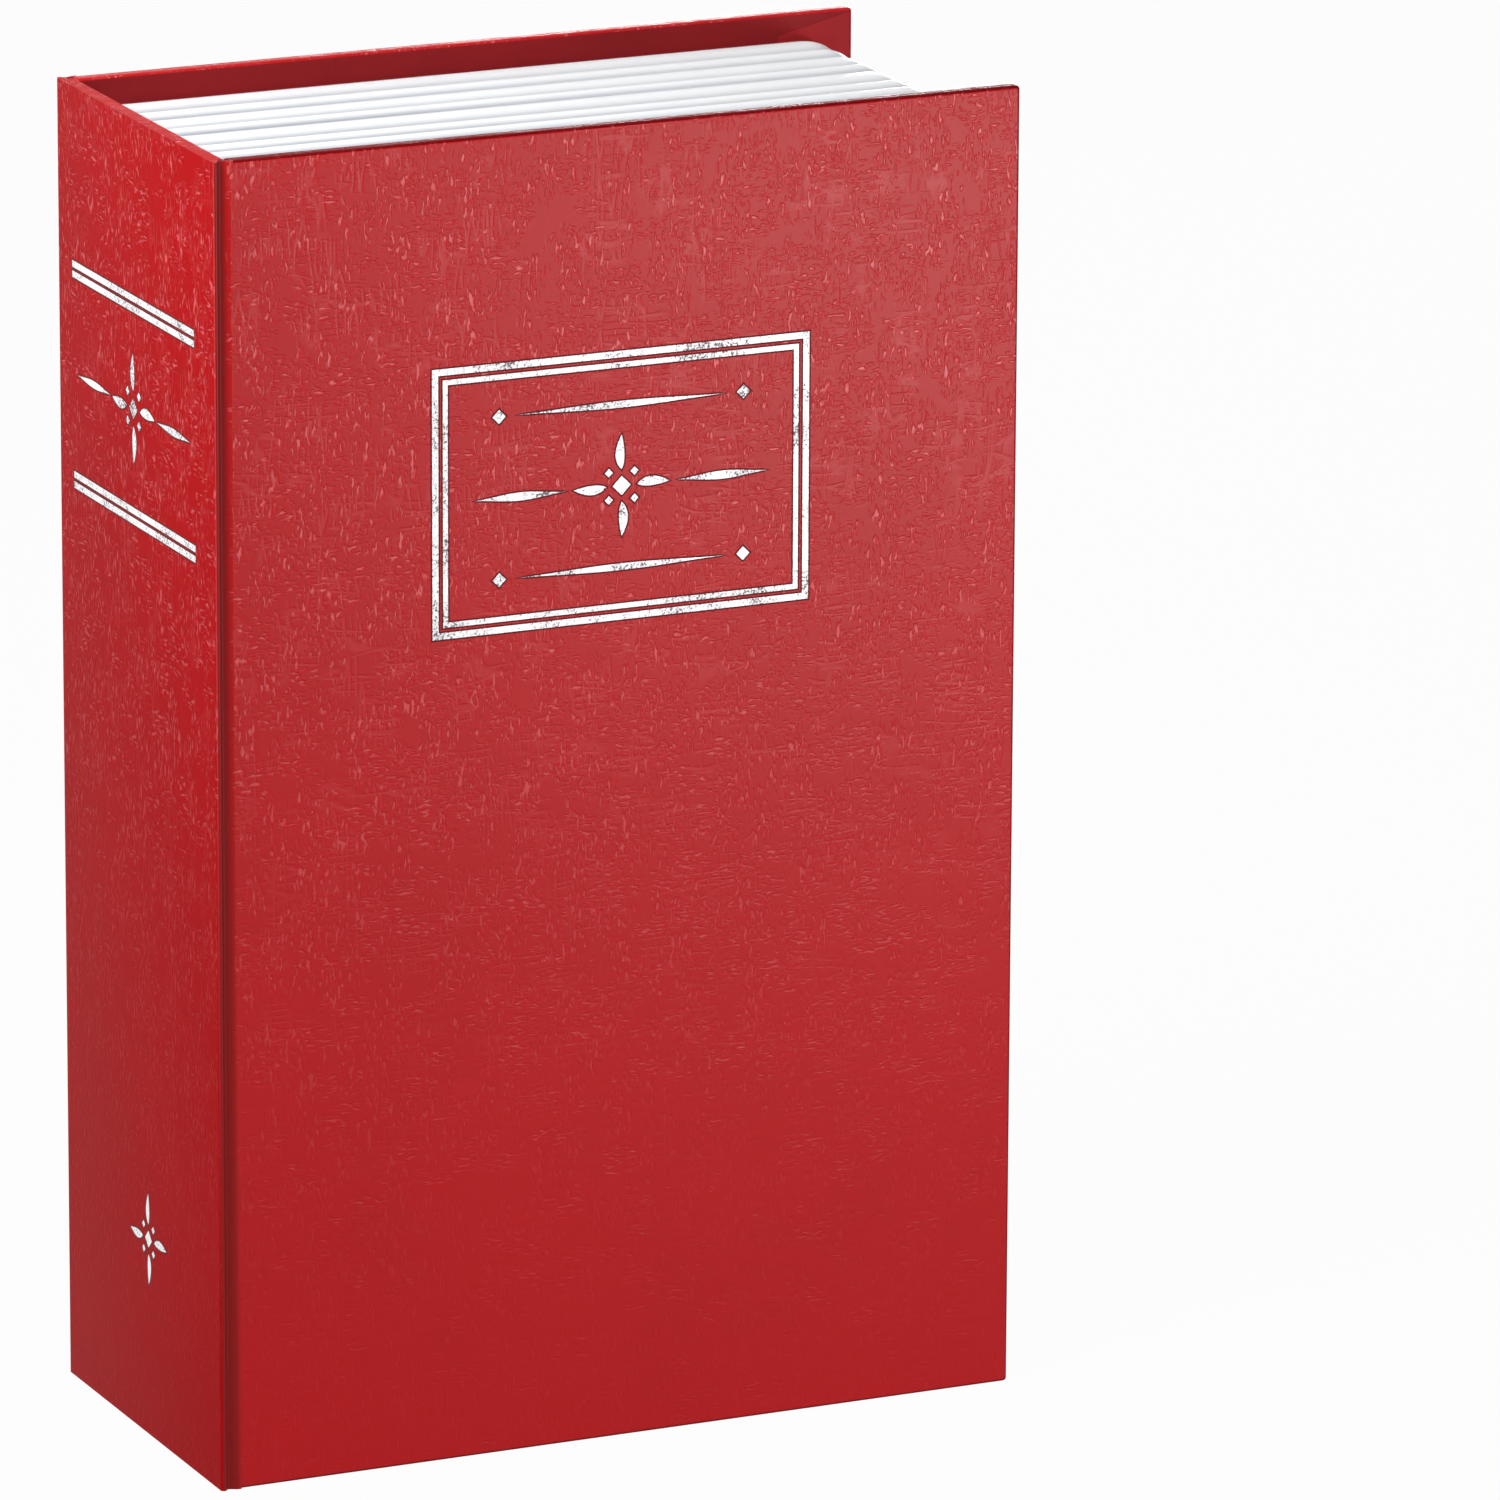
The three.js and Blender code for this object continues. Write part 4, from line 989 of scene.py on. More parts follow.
print("a square widened by 0.5:", widened([(0, 0), (4, 0), (4, 4), (0, 4)], 0.5))

# %% [markdown]
# The frame and the rules are plain lines. Inside them stand printer's flowers, lozenges and swelled rules,
# which binders have used for this for centuries. Drawn from a few curves, each can be set at any size and
# place.

# %% Figures to stamp


def rectangle(x, y, width, height):
    """A rectangle round its middle."""
    return [(x - width / 2, y - height / 2), (x + width / 2, y - height / 2),
            (x + width / 2, y + height / 2), (x - width / 2, y + height / 2)]


def frame_line(x, y, width, height, line_width):
    """One line of a frame, as a pair of outlines."""
    return [rectangle(x, y, width, height), rectangle(x, y, width - 2 * line_width, height - 2 * line_width)]


def lozenge(x, y, width, height):
    """A diamond round its middle."""
    return [(x - width / 2, y), (x, y - height / 2), (x + width / 2, y), (x, y + height / 2)]


def swelled_rule(x, y, length, thickness):
    """A rule that swells towards its middle, as printers set between parts of a page."""
    steps = 24
    top = []
    for i in range(steps + 1):
        swell = math.sin(math.pi * i / steps) ** 1.6
        top.append((x + length / 2 * (2 * i / steps - 1), y + thickness / 2 * swell))
    low = [(px, 2 * y - py) for px, py in reversed(top[1:-1])]
    return top + low


def leaf(x, y, angle, length, width):
    """A pointed leaf that starts at a point and grows at an angle."""
    turn = math.radians(angle)
    cos, sin = math.cos(turn), math.sin(turn)
    side = bezier((0, 0), (length * 0.25, width * 0.75), (length * 0.6, width * 0.65), (length, 0), 10)
    other = bezier((length, 0), (length * 0.6, -width * 0.25), (length * 0.25, -width * 0.35), (0, 0), 10)
    return [(x + u * cos - v * sin, y + u * sin + v * cos) for u, v in side + other[1:-1]]


def away(x, y, angle, reach):
    """The point at a distance from another, at an angle."""
    turn = math.radians(angle)
    return (x + reach * math.cos(turn), y + reach * math.sin(turn))


def ornament(x, y, size):
    """A printer's flower: a lozenge, with four leaves and four small lozenges round it."""
    figures = [lozenge(x, y, size * 0.2, size * 0.2)]
    for angle in (0, 90, 180, 270):
        figures.append(leaf(*away(x, y, angle, size * 0.17), angle, size * 0.36, size * 0.13))
        figures.append(lozenge(*away(x, y, angle + 45, size * 0.2), size * 0.09, size * 0.09))
    return figures


print("a printer's flower has", len(ornament(0, 0, 1)), "figures")

# %% [markdown]
# On the front a double frame stands round a flower, between swelled rules and lozenges. It is symmetric, so
# each pair is placed by one line with a side of -1 or 1, and can't drift apart.

# %% Stamp the front
FRAME_X, FRAME_Z = 0.0, 131.4 * MM
FRAME_WIDTH, FRAME_HEIGHT = 54 * MM, 36.4 * MM
OUTER_LINE, LINE_GAP, INNER_LINE = 0.88 * MM, 0.64 * MM, 0.7 * MM
FRONT_FLOWER = 13 * MM
FLANK_X, FLANK_LENGTH, FLANK_HEIGHT = 14.5 * MM, 13 * MM, 1.1 * MM
ROW_Z, ROW_LENGTH, ROW_HEIGHT = 11 * MM, 30 * MM, 0.9 * MM
ROW_END_X, ROW_END_SIZE = 17.5 * MM, 1.9 * MM


def on_front(across, up, proud):
    """A point in front of the front cover."""
    return (across, FRONT_Y - proud, up)


inset = 2 * (OUTER_LINE + LINE_GAP)
front_figures = [
    frame_line(FRAME_X, FRAME_Z, FRAME_WIDTH, FRAME_HEIGHT, OUTER_LINE),
    frame_line(FRAME_X, FRAME_Z, FRAME_WIDTH - inset, FRAME_HEIGHT - inset, INNER_LINE),
]
front_figures += ornament(FRAME_X, FRAME_Z, FRONT_FLOWER)
for side in (-1, 1):
    flank = FRAME_X + side * FLANK_X
    row = FRAME_Z + side * ROW_Z
    front_figures.append(swelled_rule(flank, FRAME_Z, FLANK_LENGTH, FLANK_HEIGHT))
    front_figures.append(swelled_rule(FRAME_X, row, ROW_LENGTH, ROW_HEIGHT))
    for end in (-1, 1):
        front_figures.append(lozenge(FRAME_X + end * ROW_END_X, row, ROW_END_SIZE, ROW_END_SIZE))
stamped("front_ornament", front_figures, on_front, "cover", FRONT_FOIL_DIMMED)
print("stamped on the front:", len(front_figures), "figures")

# %% [markdown]
# The spine has two pairs of rules with a flower between them, and a smaller flower at its foot. The same
# functions draw them, and only the plane that they are laid on differs.

# %% Stamp the spine
RULE_LENGTH, RULE_HEIGHT, RULE_GAP = 43 * MM, 0.9 * MM, 0.5 * MM
RULE_PAIRS = (155.9 * MM, 127.1 * MM)
SPINE_MIDDLE = -0.8 * MM
HEAD_Z, HEAD_FLOWER = 141 * MM, 14 * MM
SIDE_X, SIDE_LENGTH, SIDE_HEIGHT = 14 * MM, 12 * MM, 1.0 * MM
FOOT_X, FOOT_Z, FOOT_FLOWER = 2 * MM, 27.5 * MM, 12 * MM


def on_spine(across, up, proud):
    """A point outside the spine."""
    return (SPINE_X - proud, -across, up)


spine_figures = []
for first in RULE_PAIRS:
    for level in (first, first - RULE_HEIGHT - RULE_GAP):
        spine_figures.append(rectangle(SPINE_MIDDLE, level, RULE_LENGTH, RULE_HEIGHT))
spine_figures += ornament(SPINE_MIDDLE, HEAD_Z, HEAD_FLOWER)
for side in (-1, 1):
    spine_figures.append(swelled_rule(SPINE_MIDDLE + side * SIDE_X, HEAD_Z, SIDE_LENGTH, SIDE_HEIGHT))
spine_figures += ornament(FOOT_X, FOOT_Z, FOOT_FLOWER)
stamped("spine_ornament", spine_figures, on_spine, "book", SPINE_FOIL_BRIGHTENED)
print("stamped on the spine:", len(spine_figures), "figures")

# %% [markdown]
# ## The steel box and its lid
#
# The box, the keeper that the lid closes against, and the hinge keep their CAD shapes. They get a powder
# coat: a dark grey paint baked to a fine orange peel, a little shinier in its hollows. The peel is far too
# fine to model, so it is a bump, of two sizes of noise: the waves of the melted powder and its last grains.

# %% Powder coat


def powder_coat(name, colour, dark, roughness):
    """Baked paint with orange peel, fine grains and a faint cloudiness."""
    made, start, shader = material(name)
    peel = spread(start, 0.55 * MM).noise(2.0, 0.55)
    dust = spread(start, 0.12 * MM).noise(1.0)
    cloud = spread(start, 28 * MM).noise(2.0).ramp(0.3, 0.7)
    wire(start, shader, Base_Color=(cloud * 0.6 + dust * 0.25).pick(colour, dark))
    wire(start, shader, Roughness=peel * 0.18 + (roughness - 0.09), Specular_IOR_Level=0.5)
    wire(start, shader, Normal=bump(start, peel * 0.7 + dust * 0.3, 0.03 * MM))
    return made


BOX_COAT = powder_coat("powder_coat", srgb(68, 70, 75), srgb(56, 58, 63), 0.46)
finish_nodes(BOX_COAT, "steel_box", "keeper_angle", "fixed_hinge_leaf")
print("powder coat on the box, the keeper and the hinge leaf")

# %% [markdown]
# The lid is made again here, because its free edge is a bend, and the light that runs down a bend shows
# every flat in it. A bevel on a sharp fold would be quicker, but it takes the same from both faces of the
# sheet. So the section is drawn with one arc outside and a smaller one inside, as a press brake leaves it.
# The knuckles are sections too: the sheet runs under the pin and is rolled round it.

# %% Lid sections
SHEET = 1.0 * MM
BEND = 1.6 * MM
FLANGE_CORNER = 3.0 * MM
KNUCKLES = 7
KNUCKLE_GAP = 0.4 * MM
KNUCKLE_RADIUS = 2.15 * MM
KNUCKLE_BORE = 1.15 * MM
HINGE_CLEAR = 0.3 * MM
LID_LOW, LID_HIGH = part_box("lid_panel")
PIN_LOW, PIN_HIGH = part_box("hinge_pin")
PIN = ((PIN_LOW + PIN_HIGH) / 2).xy
KNOB_LOW, KNOB_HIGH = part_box("knob")
KNOB_AXIS = (KNOB_LOW + KNOB_HIGH) / 2
KNOB_CENTRE = (KNOB_AXIS.x, KNOB_AXIS.z)
LID_FACE_Y = LID_HIGH.y - SHEET
PANEL_LEFT = PIN.x + KNUCKLE_RADIUS + HINGE_CLEAR


def panel_section():
    """The panel and its bend, from beside the hinge to where the flange goes straight."""
    centre = (LID_HIGH.x - BEND, LID_HIGH.y - BEND)
    outer = arc(centre, BEND, 90, 0, 10)
    inner = arc(centre, BEND - SHEET, 0, 90, 6)
    return [(PANEL_LEFT, LID_HIGH.y)] + outer + inner + [(PANEL_LEFT, LID_FACE_Y)]


def knuckle_section():
    """A knuckle: the sheet runs under the pin, is rolled round it and stops short of itself."""
    rolled = arc(PIN, KNUCKLE_RADIUS, 90, 385, 30)
    bore = arc(PIN, KNUCKLE_BORE, 385, 90, 30)
    return [(PANEL_LEFT, LID_HIGH.y)] + rolled + bore + [(PANEL_LEFT, LID_FACE_Y)]


def flange_outline():
    """The flange seen from the fore edge, with its two front corners round."""
    r = FLANGE_CORNER
    front, low, high = LID_LOW.y, LID_LOW.z, LID_HIGH.z
    back_edge = LID_HIGH.y - BEND
    top = arc((front + r, high - r), r, 90, 180, 8)
    bottom = arc((front + r, low + r), r, 180, 270, 8)
    return [(back_edge, high)] + top + bottom + [(back_edge, low)]


print("sections:", len(panel_section()), "points on the panel,", len(knuckle_section()), "on a knuckle")

# %% [markdown]
# The panel gets its holes while it is a plain sheet, as it would in the works: one for the lock's case and
# one for its barrel. The flange and the knuckles could be merged with it by more Booleans, but where two
# faces meet exactly a Boolean is at its weakest. So they are added as closed forms that meet the panel
# edge to edge.

# %% Lid
CASE_HOLE_HALF = 6.73 * MM
CASE_HOLE_LOW, CASE_HOLE_HIGH = 91.1 * MM, 114.7 * MM
BARREL_HOLE = 5.1 * MM

mesh_data = bmesh.new()
add_prism(mesh_data, panel_section(), LID_LOW.z, LID_HIGH.z)
lid = finished("lid", mesh_data, BOX_COAT, 35)
near, far = LID_FACE_Y - MM, LID_HIGH.y + MM
hole_low = (KNOB_AXIS.x - CASE_HOLE_HALF, near, CASE_HOLE_LOW)
hole_high = (KNOB_AXIS.x + CASE_HOLE_HALF, far, CASE_HOLE_HIGH)
mesh_data = bmesh.new()
add_block(mesh_data, hole_low, hole_high)
add_prism(mesh_data, circle(KNOB_CENTRE, BARREL_HOLE, 32), near, far, "Y")
carve(lid, finished("lid_holes", mesh_data, BOX_COAT))
mesh_data = bmesh.new()
mesh_data.from_mesh(lid.data)
add_prism(mesh_data, flange_outline(), LID_HIGH.x - SHEET, LID_HIGH.x, "X")
knuckle_length = (LID_HIGH.z - LID_LOW.z + KNUCKLE_GAP) / KNUCKLES - KNUCKLE_GAP
for i in range(1, KNUCKLES, 2):
    low = LID_LOW.z + i * (knuckle_length + KNUCKLE_GAP)
    add_prism(mesh_data, knuckle_section(), low, low + knuckle_length)
bpy.data.objects.remove(lid)
lid = finished("lid_sheet", mesh_data, BOX_COAT, 35)
even_shading(lid)
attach(lid, "lid")
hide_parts("lid_panel")
print("lid:", len(lid.data.polygons), "faces, knuckles of mm:", round(knuckle_length / MM, 2))

# %% [markdown]
# ## The combination lock
#
# The lock plate is a black moulding with a softened edge, let into which are three wheels of satin nickel.
# Black mouldings are never quite black or quite smooth: the mould leaves a fine grain, and handling leaves
# a faint uneven shine. Metal shows the way it was worked: the wheels were turned, which leaves lines round
# them, and zinc plate is speckled. One function each makes the blacks and the metals, since they differ in
# a few numbers only.

# %% Lock finishes


def black_moulding(name, roughness, grain_depth):
    """Black plastic with the mould's grain, a shine from handling and faint scuffs."""
    made, start, shader = material(name)
    grain = spread(start, 0.14 * MM).noise(2.0, 0.6)
    handled = spread(start, 6 * MM).noise(3.0).ramp(0.3, 0.75)
    scuffs = crests(spread(start, 2.5 * MM, 2.5 * MM, 0.5 * MM).noise(2.0, 0.7), 30) * handled
    wire(start, shader, Base_Color=(handled * 0.5 + scuffs * 0.2).pick(srgb(30, 30, 31), srgb(40, 40, 42)))
    wire(start, shader, Roughness=handled * 0.12 + scuffs * 0.1 + roughness, Specular_IOR_Level=0.5)
    wire(start, shader, Normal=bump(start, grain, grain_depth))
    return made


def metal(name, bright, dull, roughness, lines):
    """Satin metal: lines gives how long its brushing runs along each axis."""
    made, start, shader = material(name)
    brushing = spread(start, *lines).noise(3.0, 0.6)
    stain = spread(start, 1.8 * MM).noise(2.0).ramp(0.35, 0.75)
    wire(start, shader, Base_Color=(stain * 0.5 + brushing * 0.3).pick(bright, dull), Metallic=1.0)
    wire(start, shader, Roughness=brushing * 0.16 + stain * 0.08 + roughness)
    wire(start, shader, Normal=bump(start, brushing, 0.012 * MM))
    return made


PLATE_BLACK = black_moulding("lock_plate_black", 0.3, 0.012 * MM)
KNOB_BLACK = black_moulding("knob_black", 0.22, 0.008 * MM)
NICKEL = metal("satin_nickel", srgb(214, 204, 192), srgb(160, 146, 134), 0.24, (2 * MM, 2 * MM, 0.08 * MM))
ZINC = metal("bright_zinc", srgb(214, 217, 222), srgb(176, 180, 188), 0.28, (0.3 * MM, 0.3 * MM, 0.3 * MM))
finish_nodes(PLATE_BLACK, "lock_case")
finish_nodes(ZINC, "box_screw_1", "box_screw_2", "box_screw_3", "box_screw_4", "hinge_pin", "lock_nut")
finish_nodes(ZINC, "case_screw_1", "case_screw_2", "wheel_spindle", "detent_spring", "code_slide")
finish_nodes(ZINC, "knob_shaft", "cam", "cam_washer", "cam_screw")
print("lock finishes:", PLATE_BLACK.name, KNOB_BLACK.name, NICKEL.name, ZINC.name)

# %% [markdown]
# The lock plate's front edge is rounded by a quarter circle. A bevel modifier would round the edges of the
# windows too, and those are crisp. So the plate is built from outlines that shrink towards the front, and
# the pockets are cut afterwards: a round one for each wheel, and a bore for the knob's shaft.

# %% Lock plate
PLATE_LOW, PLATE_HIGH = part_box("lock_plate")
PLATE_BACK_Y = LID_FACE_Y - 0.1 * MM
PLATE_CORNER = 1.6 * MM
PLATE_EDGE = 0.6 * MM
PLATE_EDGE_STEPS = 5
WHEELS = ["number_wheel_1", "number_wheel_2", "number_wheel_3"]
WHEEL_BOXES = [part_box(name) for name in WHEELS]
WHEEL_RADIUS = 4.88 * MM
WHEEL_THICKNESS = 4.2 * MM
POCKET_RADIUS = 5.23 * MM
POCKET_GAP = 0.18 * MM
BARREL_RADIUS = 4.8 * MM
SHAFT_BORE = 2.65 * MM

plate_centre = ((PLATE_LOW.x + PLATE_HIGH.x) / 2, (PLATE_LOW.z + PLATE_HIGH.z) / 2)
width, height = PLATE_HIGH.x - PLATE_LOW.x, PLATE_HIGH.z - PLATE_LOW.z
rings = []
for i in range(PLATE_EDGE_STEPS + 1):
    turn = math.pi / 2 * i / PLATE_EDGE_STEPS
    inset = PLATE_EDGE * (1 - math.sin(turn))
    y = PLATE_LOW.y + PLATE_EDGE * (1 - math.cos(turn))
    outline = rounded_outline(plate_centre, width - 2 * inset, height - 2 * inset, PLATE_CORNER - inset)
    rings.append([(x, y, z) for x, z in outline])
outline = rounded_outline(plate_centre, width, height, PLATE_CORNER)
rings.append([(x, PLATE_BACK_Y, z) for x, z in outline])
mesh_data = bmesh.new()
add_rings(mesh_data, rings)
plate = finished("lock_face", mesh_data, PLATE_BLACK, 50)
mesh_data = bmesh.new()
for low, high in WHEEL_BOXES:
    centre = (low + high) / 2
    half = WHEEL_THICKNESS / 2 + POCKET_GAP
    pocket = circle((centre.x, centre.y), POCKET_RADIUS, 64)
    add_prism(mesh_data, pocket, centre.z - half, centre.z + half)
add_prism(mesh_data, circle(KNOB_CENTRE, SHAFT_BORE, 32), PLATE_LOW.y - MM, PLATE_BACK_Y + MM, "Y")
carve(plate, finished("pockets", mesh_data, PLATE_BLACK))
even_shading(plate)
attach(plate, "lid")
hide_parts("lock_plate")
print("lock face:", len(plate.data.polygons), "faces")

# %% [markdown]
# Behind the plate a barrel carries the nut that holds the lock to the lid, and the knob's shaft runs
# through it. Its thread lies inside the nut, so the barrel is a plain tube: four circles in a closed chain.

# %% Lock barrel
BARREL_START_Y = PLATE_BACK_Y - 0.5 * MM
BARREL_END_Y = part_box("lock_nut")[1].y + 0.1 * MM

rings = []
for radius, y in (
    (BARREL_RADIUS, BARREL_START_Y), (BARREL_RADIUS, BARREL_END_Y),
    (SHAFT_BORE, BARREL_END_Y), (SHAFT_BORE, BARREL_START_Y),
):
    rings.append([(x, y, z) for x, z in circle(KNOB_CENTRE, radius, 48)])
mesh_data = bmesh.new()
add_rings(mesh_data, rings, closed=True)
barrel = finished("lock_barrel", mesh_data, PLATE_BLACK, 50)
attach(barrel, "lid")
print("barrel, mm long:", round((BARREL_END_Y - BARREL_START_Y) / MM, 1))

# %% [markdown]
# ## Number wheels
#
# Each flat of a wheel has a plain number, filled with black paint. A font could give the numbers, but its
# strokes taper and its corners are sharp, while an engraver's cutter leaves one width with round ends. So
# each number is drawn by strokes: paths in a unit square, whose corners are cut, and which get a round
# section and are pressed flat onto the wheel.

# %% Numbers
FACETS = 10
DIGIT_HEIGHT = 1.6 * MM
DIGIT_WIDTH = 2.6 * MM
DIGIT_STROKE = 0.34 * MM
DIGIT_PROUD = 0.02 * MM
DIGITS = [
    [([(0, 0), (1, 0), (1, 1), (0, 1)], True)],
    [([(0.5, 0), (0.5, 1)], False)],
    [([(0, 0.8), (0, 1), (1, 1), (1, 0.6), (0, 0), (1, 0)], False)],
    [([(0, 1), (1, 1), (1, 0.5), (0.4, 0.5)], False), ([(0.4, 0.5), (1, 0.5), (1, 0), (0, 0)], False)],
    [([(0.75, 0), (0.75, 1), (0, 0.3), (1, 0.3)], False)],
    [([(1, 1), (0, 1), (0, 0.55), (1, 0.6), (1, 0), (0, 0)], False)],
    [([(0.9, 1), (0, 1), (0, 0), (1, 0), (1, 0.55), (0, 0.55)], False)],
    [([(0, 1), (1, 1), (0.3, 0)], False)],
    [([(0, 0), (1, 0), (1, 0.5), (0, 0.5)], True), ([(0.1, 0.5), (0.9, 0.5), (0.9, 1), (0.1, 1)], True)],
    [([(0.1, 0), (1, 0), (1, 1), (0, 1), (0, 0.45), (1, 0.45)], False)],
]
BLACK_FILL = black_moulding("number_fill", 0.4, 0.005 * MM)


def softened(points, closed):
    """A path with its corners cut twice, so that they turn round."""
    for _ in range(2):
        pairs = list(zip(points, points[1:] + points[:1] if closed else points[1:]))
        cut = [(a[0] + (b[0] - a[0]) * t, a[1] + (b[1] - a[1]) * t) for a, b in pairs for t in (0.22, 0.78)]
        points = cut if closed else [points[0]] + cut[1:-1] + [points[-1]]
    return points


def digit(number, centre):
    """A number lying across its flat, as a mesh: its top points round the wheel and its right up the lock."""
    strokes = bpy.data.curves.new("digit", "CURVE")
    strokes.dimensions = "3D"
    strokes.bevel_depth = DIGIT_STROKE / 2
    strokes.bevel_resolution = 2
    strokes.use_fill_caps = True
    for path, closed in DIGITS[number]:
        points = [((x - 0.5) * DIGIT_WIDTH, (y - 0.5) * DIGIT_HEIGHT) for x, y in softened(path, closed)]
        spline = strokes.splines.new("POLY")
        spline.points.add(len(points) - 1)
        spline.points.foreach_set("co", [value for x, y in points for value in (x, y, 0, 1)])
        spline.use_cyclic_u = closed
    holder = bpy.data.objects.new("digit", strokes)
    bpy.context.collection.objects.link(holder)
    shaped = holder.evaluated_get(bpy.context.evaluated_depsgraph_get())
    data = bpy.data.meshes.new_from_object(shaped)
    bpy.data.objects.remove(holder)
    angle = -math.pi / 2 - number * 2 * math.pi / FACETS
    outward = Vector((math.cos(angle), math.sin(angle), 0))
    top = Vector((math.sin(angle), -math.cos(angle), 0))
    place = Matrix((Vector((0, 0, 1)), top, outward)).transposed().to_4x4()
    place.translation = centre + outward * WHEEL_RADIUS * math.cos(math.pi / FACETS)
    data.transform(place @ Matrix.Diagonal((1, 1, DIGIT_PROUD * 2 / DIGIT_STROKE, 1)))
    return data


print("numbers drawn with", sum(len(strokes) for strokes in DIGITS), "strokes")

# %% [markdown]
# Each wheel has ten flats with a notch between them, of which a window shows three at a time. The notches
# could be cut out of a cylinder. They are corners of the wheel's outline instead, which needs no cutting,
# and the rings at both ends shrink a little to soften the rims.

# %% Number wheels
NOTCH_DEPTH = 0.35 * MM
NOTCH_SHARE = 0.09
RIM = 0.22 * MM
RIM_PROFILE = [(0, 1), (0.4, 0.3), (1, 0)]
HUB_RADIUS = 1.7 * MM
HUB_HALF = 2.67 * MM


def wheel_outline(centre, shrink):
    """A flat for each number, with a notch between flats. One flat faces the front."""
    step = 2 * math.pi / FACETS
    inset = NOTCH_SHARE * step
    flat = WHEEL_RADIUS * math.cos(step / 2) / math.cos(step / 2 - inset)
    points = []
    for i in range(FACETS):
        start_at = i * step - step / 2 - math.pi / 2
        for angle, radius in ((0, WHEEL_RADIUS - NOTCH_DEPTH), (inset, flat), (step - inset, flat)):
            reach, turn = radius - shrink, start_at + angle
            points.append((centre.x + reach * math.cos(turn), centre.y + reach * math.sin(turn)))
    return points


for i, (low, high) in enumerate(WHEEL_BOXES):
    centre = (low + high) / 2
    half = WHEEL_THICKNESS / 2
    levels = [(-half + RIM * inward, RIM * shrink) for inward, shrink in RIM_PROFILE]
    levels += [(-z, shrink) for z, shrink in reversed(levels)]
    rings = [[(x, y, centre.z + z) for x, y in wheel_outline(centre, shrink)] for z, shrink in levels]
    mesh_data = bmesh.new()
    add_rings(mesh_data, rings)
    hub = circle((centre.x, centre.y), HUB_RADIUS, 32)
    add_prism(mesh_data, hub, centre.z - HUB_HALF, centre.z + HUB_HALF)
    wheel = finished("wheel_" + str(i + 1), mesh_data, NICKEL, 25)
    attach(wheel, "wheel_" + str(i + 1))
    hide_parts(WHEELS[i])
    mesh_data = bmesh.new()
    for number in range(FACETS):
        data = digit(number, centre)
        mesh_data.from_mesh(data)
        bpy.data.meshes.remove(data)
    numbers = finished("numbers_" + str(i + 1), mesh_data, BLACK_FILL, 30)
    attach(numbers, "wheel_" + str(i + 1))
print("wheels:", len(WHEEL_BOXES), "with", FACETS, "numbers each")

# %% [markdown]
# ## The turning knob
#
# The knob is one moulding: a plain skirt, a grip with fine flutes, a rounded rim and a shallow dish with a
# curved arrow and a dot sunk in it. Cutting 44 flutes from a cylinder would be slow and could leave
# slivers. Instead the knob is built like a lathe piece, ring by ring, and the flutes are a ripple in the
# radius of the rings between the skirt and the rim.

# %% Knob shape
KNOB_RADIUS = 7.5 * MM
GRIP_RADIUS = 7.1 * MM
SKIRT = 1.5 * MM
RIM_WIDTH = 1.0 * MM
DISH_RADIUS = 5.55 * MM
DISH_DEPTH = 0.6 * MM
FLUTES = 44
FLUTE_DEPTH = 0.2 * MM
RING_POINTS = FLUTES * 6
FOOT_EDGE = 0.15 * MM
RIM_STEPS = 8


def knob_ring(radius, height, flute=0.0):
    """A ring round the knob's axis at a height above its base, towards the front."""
    points = []
    for i in range(RING_POINTS):
        turn = 2 * math.pi * i / RING_POINTS
        reach = radius - flute * (0.5 - 0.5 * math.cos(FLUTES * turn)) ** 0.7
        across, up = reach * math.cos(turn), reach * math.sin(turn)
        points.append((KNOB_AXIS.x + across, KNOB_HIGH.y - height, KNOB_AXIS.z + up))
    return points


height = KNOB_HIGH.y - KNOB_LOW.y
rings = [
    knob_ring(KNOB_RADIUS - FOOT_EDGE, 0),
    knob_ring(KNOB_RADIUS, FOOT_EDGE),
    knob_ring(KNOB_RADIUS, SKIRT - 0.2 * MM),
    knob_ring(KNOB_RADIUS - 0.08 * MM, SKIRT),
    knob_ring(GRIP_RADIUS + 0.15 * MM, SKIRT + 0.25 * MM, FLUTE_DEPTH * 0.5),
    knob_ring(GRIP_RADIUS, SKIRT + 0.5 * MM, FLUTE_DEPTH),
    knob_ring(GRIP_RADIUS, height - RIM_WIDTH, FLUTE_DEPTH),
]
roundness = RIM_WIDTH / 2
for i in range(1, RIM_STEPS):
    turn = math.pi * i / RIM_STEPS
    radius = GRIP_RADIUS - roundness + roundness * math.cos(turn)
    level = height - roundness + roundness * math.sin(turn)
    rings.append(knob_ring(radius, level, FLUTE_DEPTH * max(0.0, 1 - i / 2)))
rings.append(knob_ring(DISH_RADIUS + 0.2 * MM, height - DISH_DEPTH * 0.7))
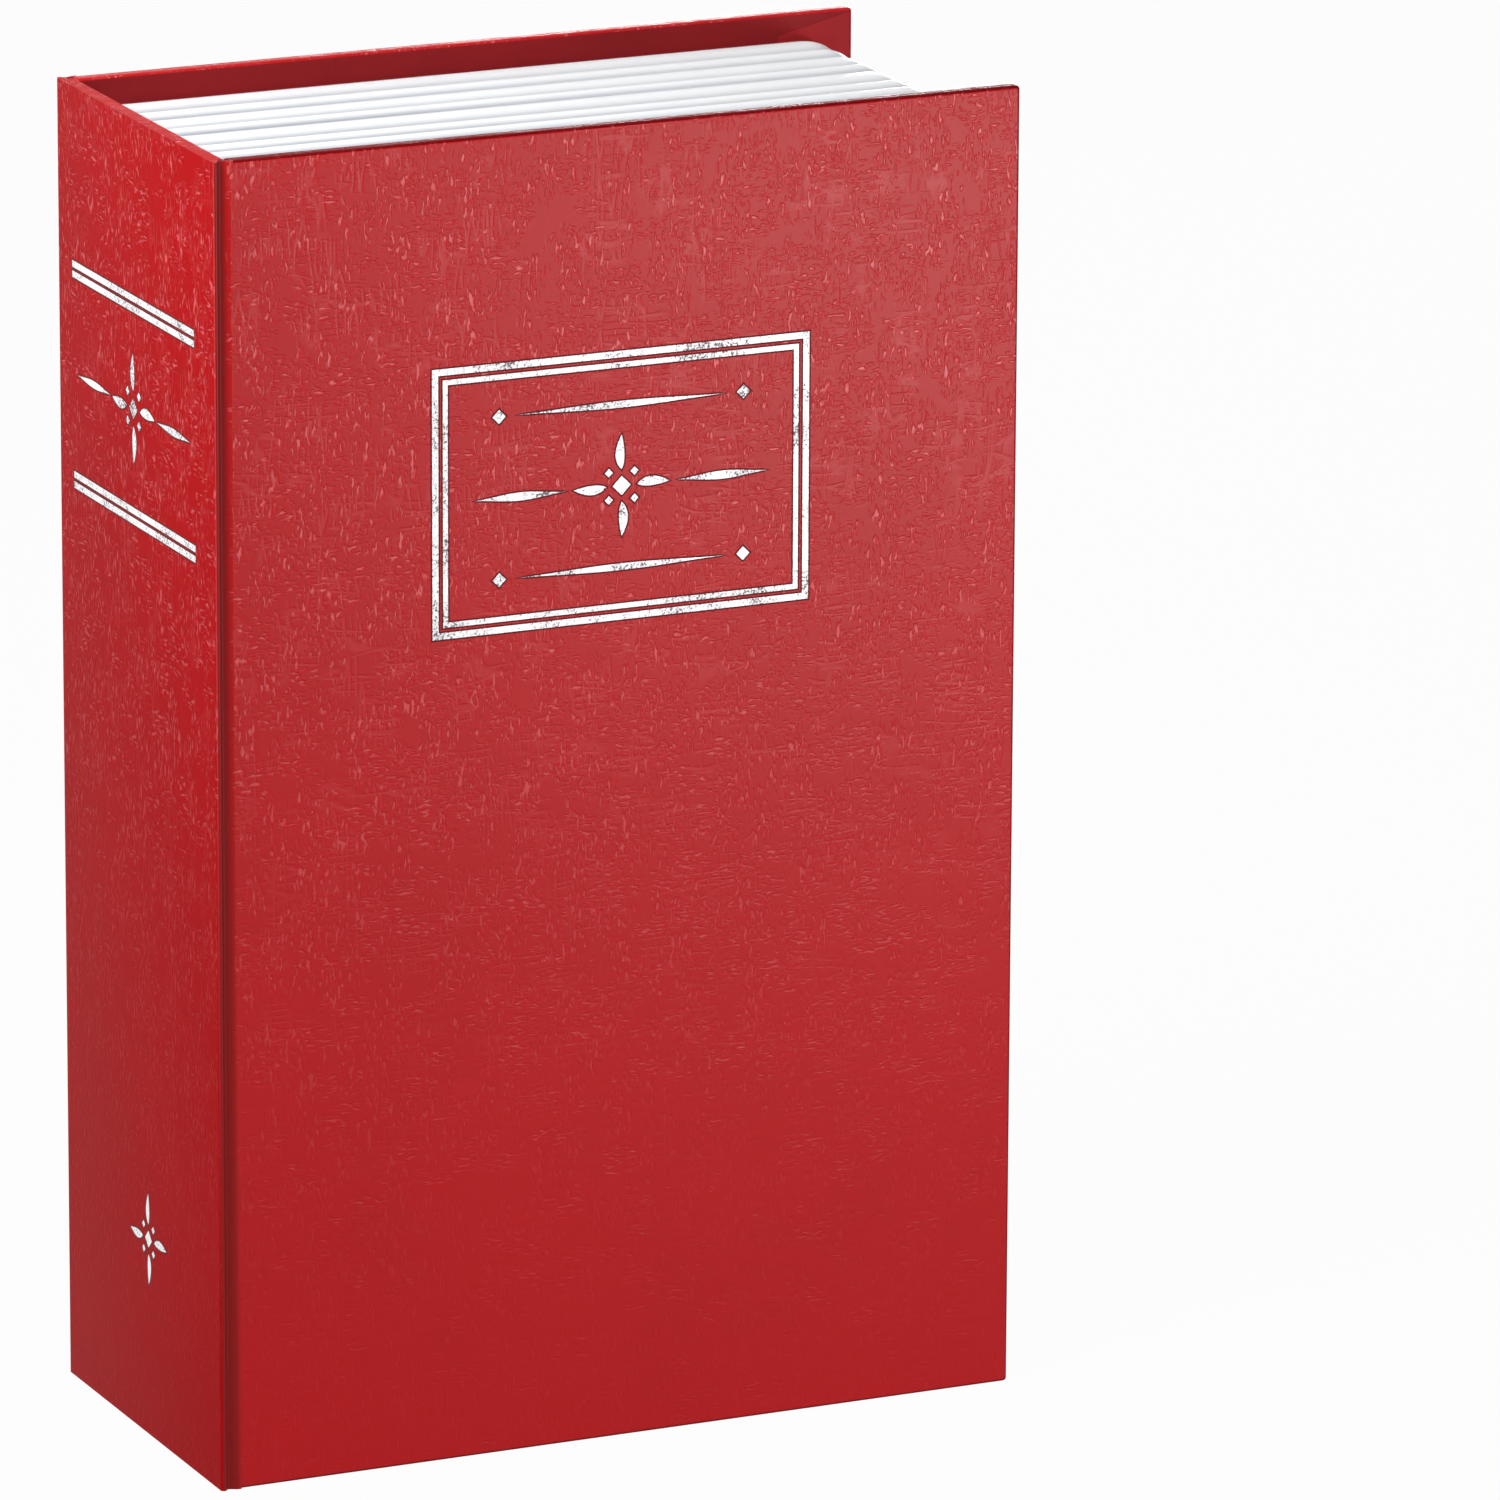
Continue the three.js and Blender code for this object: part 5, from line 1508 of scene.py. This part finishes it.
rings.append(knob_ring(DISH_RADIUS, height - DISH_DEPTH))
mesh_data = bmesh.new()
add_rings(mesh_data, rings)
knob = finished("turning_knob", mesh_data, KNOB_BLACK, 50)
print("knob:", len(rings), "rings of", RING_POINTS, "points")

# %% [markdown]
# The arrow and the dot don't run round the knob's axis, so rings can't make them, and they are cut into the
# dish. The arrow is a band with a triangle at its end. The triangle laps the band and is a hair less deep,
# so that the two cutters never share a face.

# %% Knob marks
MARK_DEPTH = 0.5 * MM
ARROW_RADIUS = 4.1 * MM
ARROW_WIDTH = 1.3 * MM
ARROW_START, ARROW_END = 180, 342
HEAD_LAP = 0.02 * MM
DOT_RADIUS = 0.75 * MM

dish_y = KNOB_LOW.y + DISH_DEPTH
near, far = dish_y - MM, dish_y + MARK_DEPTH
band = arc(KNOB_CENTRE, ARROW_RADIUS + ARROW_WIDTH / 2, ARROW_START, ARROW_END, 28)
band += arc(KNOB_CENTRE, ARROW_RADIUS - ARROW_WIDTH / 2, ARROW_END, ARROW_START, 28)
dot_centre = (KNOB_AXIS.x + ARROW_RADIUS / 2, KNOB_AXIS.z + ARROW_RADIUS / 2)
mesh_data = bmesh.new()
add_prism(mesh_data, band, near, far, "Y")
add_prism(mesh_data, circle(dot_centre, DOT_RADIUS, 24), near, far, "Y")
carve(knob, finished("arrow", mesh_data, KNOB_BLACK))
arrow_head = [
    (KNOB_AXIS.x - ARROW_RADIUS - ARROW_WIDTH, KNOB_AXIS.z - HEAD_LAP),
    (KNOB_AXIS.x - ARROW_RADIUS + ARROW_WIDTH, KNOB_AXIS.z - HEAD_LAP),
    (KNOB_AXIS.x - ARROW_RADIUS, KNOB_AXIS.z + 2 * ARROW_WIDTH),
]
mesh_data = bmesh.new()
add_prism(mesh_data, arrow_head, near, far - HEAD_LAP, "Y")
carve(knob, finished("arrow_head", mesh_data, KNOB_BLACK))
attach(knob, "bolt")
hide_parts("knob")
print("knob:", len(knob.data.polygons), "faces")

# %% [markdown]
# ## Finish
